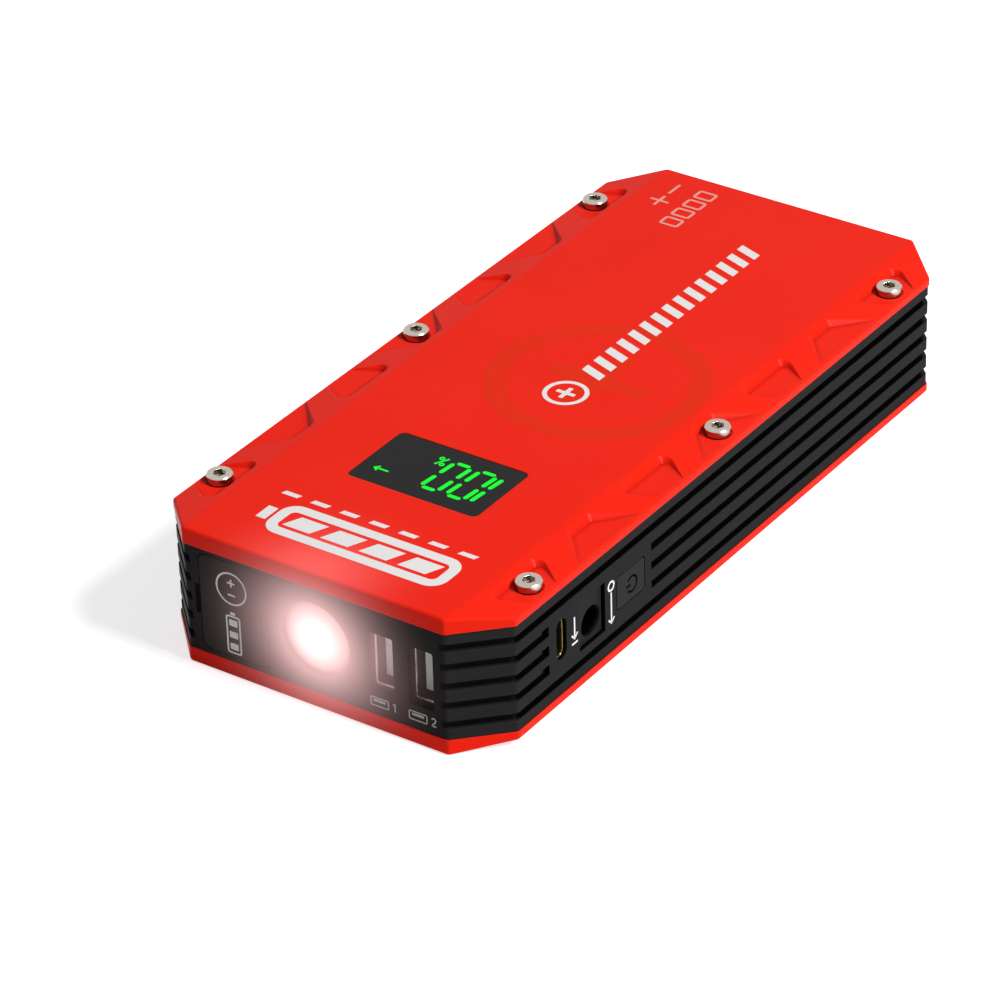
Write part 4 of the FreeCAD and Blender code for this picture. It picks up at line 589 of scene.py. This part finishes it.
def stroke(plane, path, width, film=inkFilm, point=0.0, lean=0.0, closed=False):
    # The film's section carried along a path of points in the plane. Over the first and last
    # point metres the width grows from nothing, and lean slides each side along the path
    path = np.array(path, float)
    if point:
        first, last = path[1] - path[0], path[-2] - path[-1]
        afterFirst = path[0] + first / np.linalg.norm(first) * point
        beforeLast = path[-1] + last / np.linalg.norm(last) * point
        path = np.vstack([path[:1], afterFirst, path[1:-1], beforeLast, path[-1:]])
    share = np.ones(len(path))
    if point:
        share[[0, -1]] = tipShare
    if closed:
        ahead, behind = np.roll(path, -1, 0), np.roll(path, 1, 0)
    else:
        ahead, behind = np.vstack([path[1:], path[-1:]]), np.vstack([path[:1], path[:-1]])
    along = ahead - behind
    along /= np.linalg.norm(along, axis=1, keepdims=True)
    across = np.stack([along[:, 1], -along[:, 0]], 1)
    offset = np.multiply.outer(share * width / 2, filmAcross)
    u = path[:, :1] + across[:, :1] * offset + along[:, :1] * offset * lean
    v = path[:, 1:] + across[:, 1:] * offset + along[:, 1:] * offset * lean
    lift = np.broadcast_to(filmLift * film, u.shape)
    if closed:
        u, v, lift = (np.vstack([grid, grid[:1]]) for grid in (u, v, lift))
    else:
        u, v = (np.vstack([grid[:1], grid, grid[-1:]]) for grid in (u, v))
        lift = np.vstack([lift[:1] * 0, lift, lift[:1] * 0])
    return plane.at(u, v, lift).reshape(-1, 3), gridFaces(*u.shape)


def roundedLoop(left, right, low, high, radius, steps=8):
    # Points round a rectangle, each corner a quarter circle
    loops = []
    for quarter, (x, y) in enumerate(((right, high), (left, high), (left, low), (right, low))):
        angle = np.linspace(0.0, math.pi / 2, steps) + quarter * math.pi / 2
        inX = x + (radius if x == left else -radius)
        inY = y + (radius if y == low else -radius)
        loops.append(np.stack([inX + radius * np.cos(angle), inY + radius * np.sin(angle)], 1))
    return np.concatenate(loops)


def arcPath(centre, radius, first, last, steps=40):
    # Points on a circle between two angles in degrees
    angle = np.radians(np.linspace(first, last, steps))
    return np.stack([centre[0] + radius * np.cos(angle), centre[1] + radius * np.sin(angle)], 1)


ringSteps = 48


def ring(plane, centre, radius, width, film=inkFilm):
    # A closed stroke along a whole circle, whose last point stops one step before the first
    last = 360 * (ringSteps - 1) / ringSteps
    return stroke(plane, arcPath(centre, radius, 0, last, ringSteps), width, film, closed=True)


def dash(plane, u, v, reach, width, film=inkFilm, lean=0.0):
    # A stroke along the writing, to reach on both sides of its middle
    return stroke(plane, [(u - reach, v), (u + reach, v)], width, film, lean=lean)


def plusSign(plane, u, v, reach, width, film=inkFilm):
    # A dash, and a stroke up to each side of it, so that no films lie in each other
    return [dash(plane, u, v, reach, width, film),
            stroke(plane, [(u, v - reach), (u, v - width / 2)], width, film),
            stroke(plane, [(u, v + width / 2), (u, v + reach)], width, film)]


def arrowDown(plane, u, start, tip, head, width):
    # A stroke down to the tip, and a head of two strokes as wide as high
    overshoot = 0.1 * mm
    return [stroke(plane, [(u, start), (u, tip)], width),
            stroke(plane, [(u - head, tip + head), (u, tip - overshoot), (u + head, tip + head)], width)]


def addPiece(name, parts, finish, body="housing"):
    # Joins grids of points and faces into one mesh piece that rides on a body
    points, faces, count = [], [], 0
    for vertices, quads in parts:
        points.append(vertices)
        faces.append(quads + count)
        count += len(vertices)
    mesh = bpy.data.meshes.new(name)
    mesh.from_pydata(np.concatenate(points), [], np.concatenate(faces).tolist())
    mesh.materials.append(finishes[finish].material)
    piece = bpy.data.objects.new(name, mesh)
    bpy.context.scene.collection.objects.link(piece)
    if body:
        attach(piece, body)
    return piece


readout = {"rights": (-12.35 * mm, -6.65 * mm, -0.45 * mm), "base": 40.05 * mm, "width": 4.1 * mm,
           "tall": 11.0 * mm, "stroke": 1.02 * mm, "tip": 0.4, "lean": 0.095, "gap": 0.42 * mm,
           "split": 0.55 * mm, "segments": {"1": "bc", "0": "abcdef"}, "thin": 0.5 * mm,
           "percentBar": [(1.3 * mm, 39.6 * mm), (3.0 * mm, 42.6 * mm)],
           "percentRings": [(1.55 * mm, 42.1 * mm), (2.75 * mm, 40.1 * mm)], "percentRadius": 0.42 * mm,
           "percentLine": 0.4 * mm, "arrowShaft": [(9.1 * mm, 50.0 * mm), (12.2 * mm, 50.0 * mm)],
           "arrowHead": [(11.5 * mm, 50.8 * mm), (12.5 * mm, 50.0 * mm), (11.5 * mm, 49.2 * mm)]}


def segmentDigit(digit, right):
    # Strokes with pointed tips round two stacked squares, sheared by the lean
    r = readout
    w, h, m, gap, split = r["width"], r["tall"], r["tall"] / 2, r["gap"], r["split"]
    runs = {"a": ((gap, h), (w - gap, h)), "b": ((w, h - gap), (w, m + split)),
            "c": ((w, m - split), (w, gap)), "d": ((gap, 0), (w - gap, 0)),
            "e": ((0, m - split), (0, gap)), "f": ((0, h - gap), (0, m + split))}
    parts = []
    for letter in r["segments"][digit]:
        path = [(right - w + u + r["lean"] * v, r["base"] + v) for u, v in runs[letter]]
        parts.append(stroke(glass, path, r["stroke"], point=r["stroke"] * r["tip"]))
    return parts


def addReadout():
    # Three digits, a small percent sign at their foot, and an arrow at the far top corner
    r = readout
    parts = []
    for digit, right in zip("100", r["rights"]):
        parts += segmentDigit(digit, right)
    parts.append(stroke(glass, r["percentBar"], r["thin"]))
    for centre in r["percentRings"]:
        parts.append(ring(glass, centre, r["percentRadius"], r["percentLine"]))
    parts.append(stroke(glass, r["arrowShaft"], r["thin"]))
    parts.append(stroke(glass, r["arrowHead"], r["thin"]))
    addPiece("displayReadout", parts, "digitGlow")


batteryMark = {"left": -24.5 * mm, "right": 18.6 * mm, "low": 70.0 * mm, "high": 81.0 * mm,
               "wall": 2.4 * mm, "round": 2.6 * mm, "cells": 4, "cellWidth": 6.6 * mm,
               "cellClear": 1.0 * mm, "lean": 0.45, "nub": 2.3 * mm, "nubGap": 0.7 * mm,
               "nubTall": 4.6 * mm, "dashes": 7, "dashLong": 3.9 * mm, "dashWide": 1.25 * mm,
               "dashAt": 67.5 * mm, "dashEnd": 22.2 * mm, "dashLean": 0.4}


def addBatteryMark():
    # A battery seen from the side: an outline, leaning cells at even steps, a pole at one end,
    # and a row of dashes below
    b = batteryMark
    half, middle = b["wall"] / 2, (b["low"] + b["high"]) / 2
    wall = roundedLoop(b["left"] + half, b["right"] - half, b["low"] + half, b["high"] - half, b["round"])
    nub = b["right"] + b["nubGap"]
    parts = [stroke(lid, wall, b["wall"], closed=True),
             stroke(lid, [(nub, middle), (nub + b["nub"], middle)], b["nubTall"])]
    clear = b["wall"] + b["cellClear"]
    tall = b["high"] - b["low"] - 2 * clear
    slant = b["lean"] * tall
    first = b["left"] + clear + slant / 2 + b["cellWidth"] / 2
    span = b["right"] - b["left"] - 2 * clear - slant - b["cellWidth"]
    for u in first + np.linspace(0.0, span, b["cells"]):
        parts.append(dash(lid, u, middle, b["cellWidth"] / 2, tall, lean=-b["lean"]))
    for u in np.linspace(b["left"], b["dashEnd"] - b["dashLong"], b["dashes"]):
        ends = [(u, b["dashAt"]), (u + b["dashLong"], b["dashAt"])]
        parts.append(stroke(lid, ends, b["dashWide"], lean=-b["dashLean"]))
    addPiece("lidBatteryMark", parts, "whiteInk")


stripMark = {"centre": (-5.4 * mm, -4.0 * mm), "radius": 4.4 * mm, "arm": 2.2 * mm, "line": 1.0 * mm,
             "first": 3.4 * mm, "last": 66.4 * mm, "bars": 15, "barWide": 2.3 * mm, "low": -7.1 * mm,
             "high": -1.5 * mm, "lean": 0.35}


def addStripMark():
    # A ring round a plus sign, then a row of leaning bars at even steps
    s = stripMark
    parts = [ring(lidLong, s["centre"], s["radius"], s["line"]),
             *plusSign(lidLong, *s["centre"], s["arm"], s["line"])]
    middle, tall = (s["low"] + s["high"]) / 2, s["high"] - s["low"]
    for u in np.linspace(s["first"], s["last"] - s["barWide"], s["bars"]):
        parts.append(stroke(lidLong, [(u, middle), (u + s["barWide"], middle)], tall, lean=-s["lean"]))
    addPiece("lidStripMark", parts, "whiteInk")


emblem = {"centre": (2.0 * mm, -7.0 * mm), "radius": 21.5 * mm, "wide": 4.6 * mm, "arm": 11.5 * mm,
          "film": 0.012 * mm}


def addEmblem():
    # The strip mark's ring and plus sign again, large and red on red, under the white print
    e = emblem
    parts = [ring(lidLong, e["centre"], e["radius"], e["wide"], e["film"]),
             *plusSign(lidLong, *e["centre"], e["arm"], e["wide"], e["film"])]
    addPiece("lidEmblem", parts, "redInk")


poleMark = {"line": 0.62 * mm, "signsAt": 24.9 * mm, "arm": 2.3 * mm, "plusFromEnd": 8.4 * mm,
            "end": 83.6 * mm, "squares": 4, "squaresAt": 17.3 * mm, "squareWide": 3.0 * mm,
            "squareHalf": 2.1 * mm, "pitch": 4.6 * mm, "round": 0.5 * mm}


def addPoleMark():
    # Plus and minus signs over a row of four open squares, in thin lines
    p = poleMark
    parts = [*plusSign(lidLong, p["end"] - p["plusFromEnd"], p["signsAt"], p["arm"], p["line"]),
             dash(lidLong, p["end"] - p["arm"], p["signsAt"], p["arm"], p["line"])]
    low, high = p["squaresAt"] - p["squareHalf"], p["squaresAt"] + p["squareHalf"]
    for step in range(p["squares"]):
        right = p["end"] - step * p["pitch"]
        loop = roundedLoop(right - p["squareWide"], right, low, high, p["round"])
        parts.append(stroke(lidLong, loop, p["line"], closed=True))
    addPiece("lidPoleMark", parts, "paleInk")


capMark = {"x": -20.1 * mm, "ringAt": 5.05 * mm, "radius": 3.6 * mm, "line": 0.4 * mm, "arm": 0.9 * mm,
           "plusUp": 1.3 * mm, "minusDown": 1.5 * mm, "cellLow": -10.1 * mm, "cellHigh": -1.5 * mm,
           "cellHalf": 1.6 * mm, "round": 0.5 * mm, "poleHalf": 0.6 * mm, "poleUp": 0.7 * mm,
           "poleTall": 0.7 * mm, "bars": 3, "barHalf": 1.0 * mm, "barTall": 1.5 * mm, "barIn": 1.5 * mm}


def addCapMark():
    # A ring round the two poles' signs, over an upright battery with three bars
    c = capMark
    x, y, line = c["x"], c["ringAt"], c["line"]
    cell = roundedLoop(x - c["cellHalf"], x + c["cellHalf"], c["cellLow"], c["cellHigh"], c["round"])
    parts = [ring(panel, (x, y), c["radius"], line),
             *plusSign(panel, x, y + c["plusUp"], c["arm"], line),
             dash(panel, x, y - c["minusDown"], c["arm"], line),
             stroke(panel, cell, line, closed=True),
             dash(panel, x, c["cellHigh"] + c["poleUp"], c["poleHalf"], c["poleTall"])]
    for v in np.linspace(c["cellLow"] + c["barIn"], c["cellHigh"] - c["barIn"], c["bars"]):
        parts.append(dash(panel, x, v, c["barHalf"], c["barTall"]))
    addPiece("capMark", parts, "whiteInk", body="cap")


portMark = {"one": 19.0 * mm, "two": 28.2 * mm, "low": -10.2 * mm, "tall": 1.9 * mm, "line": 0.3 * mm,
            "flagStart": (-0.42 * mm, -0.38 * mm), "flagEnd": (-0.05 * mm, -0.02 * mm),
            "bendDown": 0.52 * mm, "bendRadius": 0.48 * mm, "bendFirst": 165, "bendLast": -35,
            "bendSteps": 12, "footLeft": 0.5 * mm, "footHalf": 0.55 * mm, "footUp": 0.05 * mm,
            "plugLong": 4.2 * mm, "plugEnd": 1.6 * mm, "plugLine": 0.27 * mm, "plugRound": 0.3 * mm,
            "tongueIn": 0.7 * mm, "tongueDown": 0.65 * mm, "tongueTall": 0.55 * mm}


def addPortMarks():
    # The figures 1 and 2 under the upright ports, drawn as pen strokes, each behind the
    # outline of a plug's mouth with its tongue
    p = portMark
    one, two, low, high, line = p["one"], p["two"], p["low"], p["low"] + p["tall"], p["line"]
    flag = [(one + u, high + v) for u, v in (p["flagStart"], p["flagEnd"])]
    bendAt = (two, high - p["bendDown"])
    bend = arcPath(bendAt, p["bendRadius"], p["bendFirst"], p["bendLast"], p["bendSteps"])
    parts = [stroke(panel, [(one, low), (one, high)], line),
             stroke(panel, flag, line),
             stroke(panel, np.vstack([bend, (two - p["footLeft"], low)]), line),
             dash(panel, two, low + p["footUp"], p["footHalf"], line)]
    for figure in (one, two):
        left, right = figure - p["plugEnd"] - p["plugLong"], figure - p["plugEnd"]
        mouth = roundedLoop(left, right, low, high, p["plugRound"])
        tongueAt = high - p["tongueDown"]
        tongue = [(left + p["tongueIn"], tongueAt), (right - p["tongueIn"], tongueAt)]
        parts.append(stroke(panel, mouth, p["plugLine"], closed=True))
        parts.append(stroke(panel, tongue, p["tongueTall"]))
    addPiece("portMarks", parts, "greyInk")


flowMark = {"inAt": -58.7 * mm, "inLow": -2.9 * mm, "inHigh": 3.1 * mm, "inClear": 1.1 * mm,
            "outAt": -45.6 * mm, "outLow": -5.4 * mm, "outHigh": 4.2 * mm, "outClear": 0.5 * mm,
            "line": 0.46 * mm, "head": 1.0 * mm}


def addFlowMarks():
    # An arrow into a bracket beside the charging port, and one out of a ring beside the jack
    f = flowMark
    line, head = f["line"], f["head"]
    parts = [*arrowDown(side, f["inAt"], f["inHigh"], f["inLow"] + f["inClear"], head, line),
             dash(side, f["inAt"], f["inLow"], head, line),
             ring(side, (f["outAt"], f["outHigh"] - head), head, line),
             *arrowDown(side, f["outAt"], f["outHigh"] - 2 * head - f["outClear"], f["outLow"], head, line)]
    addPiece("flowMarks", parts, "whiteInk")


powerMark = {"centre": (-38.1 * mm, -0.25 * mm), "radius": 1.75 * mm, "opening": (218, 502),
             "barFrom": 0.5 * mm, "barTo": 2.1 * mm, "line": 0.5 * mm, "film": 0.02 * mm}


def addPowerMark():
    # The usual power sign engraved in the button: a ring open at one side, with a bar in the gap, drawn as
    # a near-black film of painted shade
    p = powerMark
    u, v = p["centre"]
    arc = arcPath(p["centre"], p["radius"], *p["opening"])
    parts = [stroke(side, arc, p["line"], p["film"]),
             stroke(side, [(u - p["barFrom"], v), (u - p["barTo"], v)], p["line"], p["film"])]
    addPiece("powerMark", parts, "symbolShade", body="button")


capWeb = {"left": -13.75 * mm, "right": -12.45 * mm, "half": 10.2 * mm, "front": -88.72 * mm,
          "back": -88.25 * mm, "dish": 0.08 * mm, "rows": 21, "columns": 15, "foldFrom": -13.5 * mm,
          "foldTo": -12.7 * mm, "foldAt": -88.5 * mm}


def addCapWeb():
    # The thin web that the cap folds on: a closed loop of points in plan, carried up its height.
    # The front is dished by half a sine wave, deepest at its middle
    w = capWeb
    share = np.linspace(0.0, 1.0, w["columns"])
    x = w["left"] + share * (w["right"] - w["left"])
    front = w["front"] + w["dish"] * np.sin(share * math.pi)
    plan = np.concatenate([np.stack([x, front], 1), np.stack([x[::-1], np.full_like(x, w["back"])], 1)])
    plan = np.vstack([plan, plan[:1]])
    points = np.empty((w["rows"], len(plan), 3))
    points[..., :2] = plan
    points[..., 2] = midHeight + np.linspace(-w["half"], w["half"], w["rows"])[:, None]
    parts = [(points.reshape(-1, 3), gridFaces(*points.shape[:2]))]
    web = addPiece("capWeb", parts, "capRubber", body=None)
    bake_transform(web)


addReadout()
addBatteryMark()
addStripMark()
addEmblem()
addPoleMark()
addCapMark()
addPortMarks()
addFlowMarks()
addPowerMark()
addCapWeb()
print("marks drawn")


# Studio: white floor, one soft lamp from the side and above, and the camera that took the
# picture
camera = {"azimuth": 35.223, "elevation": 31.655, "roll": -1.697, "distance": 1020.9 * mm, "lens": 174.75,
          "sensor": 36.0, "clipStart": 0.05, "clipEnd": 20.0, "shiftRight": -14.06 * mm,
          "shiftUp": 1.037 * mm, "lift": 0.461 * mm}


def addCamera():
    # The axes come from azimuth and elevation, then turn about the view by the roll
    a, e, r = (math.radians(camera[key]) for key in ("azimuth", "elevation", "roll"))
    view = Vector((-math.sin(a) * math.cos(e), math.cos(a) * math.cos(e), -math.sin(e)))
    right = Vector((math.cos(a), math.sin(a), 0.0))
    up = right.cross(view)
    rolledRight = right * math.cos(r) + up * math.sin(r)
    rolledUp = up * math.cos(r) - right * math.sin(r)
    data = bpy.data.cameras.new("photoCamera")
    data.lens = camera["lens"]
    data.sensor_width = camera["sensor"]
    data.clip_start = camera["clipStart"]
    data.clip_end = camera["clipEnd"]
    made = bpy.data.objects.new("photoCamera", data)
    made.matrix_world = Matrix((rolledRight, rolledUp, -view)).transposed().to_4x4()
    made.location = (-view * camera["distance"] + rolledRight * camera["shiftRight"]
                     + rolledUp * camera["shiftUp"] + Vector((0, 0, camera["lift"])))
    bpy.context.scene.collection.objects.link(made)
    bpy.context.scene.camera = made


studio = {"floorSize": 6.0, "floorSteps": 41, "floorDrop": 0.02 * mm, "floorColour": tone(0.80, 0.80, 0.80),
          "floorShade": 0.97, "cloudSize": 400.0 * mm, "cloudShare": 0.1, "floorGlow": 0.70,
          "world": tone(0.17, 0.17, 0.175), "keyPlace": (1.05, 0.07, 1.10), "keySize": 0.5,
          "keyPower": 26.9}


def addFloor():
    # A plain grid with faint clouds, lit from itself only for what looks straight at it
    s, steps = studio, studio["floorSteps"]
    run = np.linspace(-0.5, 0.5, steps) * s["floorSize"]
    x, y = np.meshgrid(run, run)
    points = np.stack([x, y, np.full_like(x, -s["floorDrop"])], -1).reshape(-1, 3)
    mesh = bpy.data.meshes.new("floor")
    mesh.from_pydata(points, [], gridFaces(steps, steps).tolist())
    f = Finish("paleFloor", Roughness=0.9, Specular_IOR_Level=0.1)
    cloud = f.noise(s["cloudSize"], detail=2.0) * s["cloudShare"]
    f.set("Base Color", f.mix(cloud, s["floorColour"], shade(s["floorColour"], s["floorShade"])))
    f.set("Emission Color", f.mix(f.seenPlainly(), black, white))
    f.set("Emission Strength", s["floorGlow"])
    mesh.materials.append(f.material)
    floor = bpy.data.objects.new("floor", mesh)
    bpy.context.scene.collection.objects.link(floor)


def addLamp(name, place, size, power):
    # A round soft lamp aimed at the middle of the floor
    data = bpy.data.lights.new(name, "AREA")
    data.shape = "DISK"
    data.size = size
    data.energy = power
    lamp = bpy.data.objects.new(name, data)
    lamp.location = place
    lamp.rotation_euler = (-Vector(place)).to_track_quat("-Z", "Y").to_euler()
    bpy.context.scene.collection.objects.link(lamp)


def addWorld():
    # White to what looks straight at it, and the studio's grey for soft light
    world = bpy.data.worlds.new("studio")
    world.use_nodes = True
    g = Graph(world.node_tree)
    background = next(n for n in g.tree.nodes if n.type == "BACKGROUND")
    g.feed(background.inputs["Color"], g.mix(g.seenPlainly(), studio["world"], white))
    bpy.context.scene.world = world


addCamera()
addFloor()
addLamp("keyLight", studio["keyPlace"], studio["keySize"], studio["keyPower"])
addWorld()
bpy.context.scene.view_settings.view_transform = "Standard"
print("studio set")
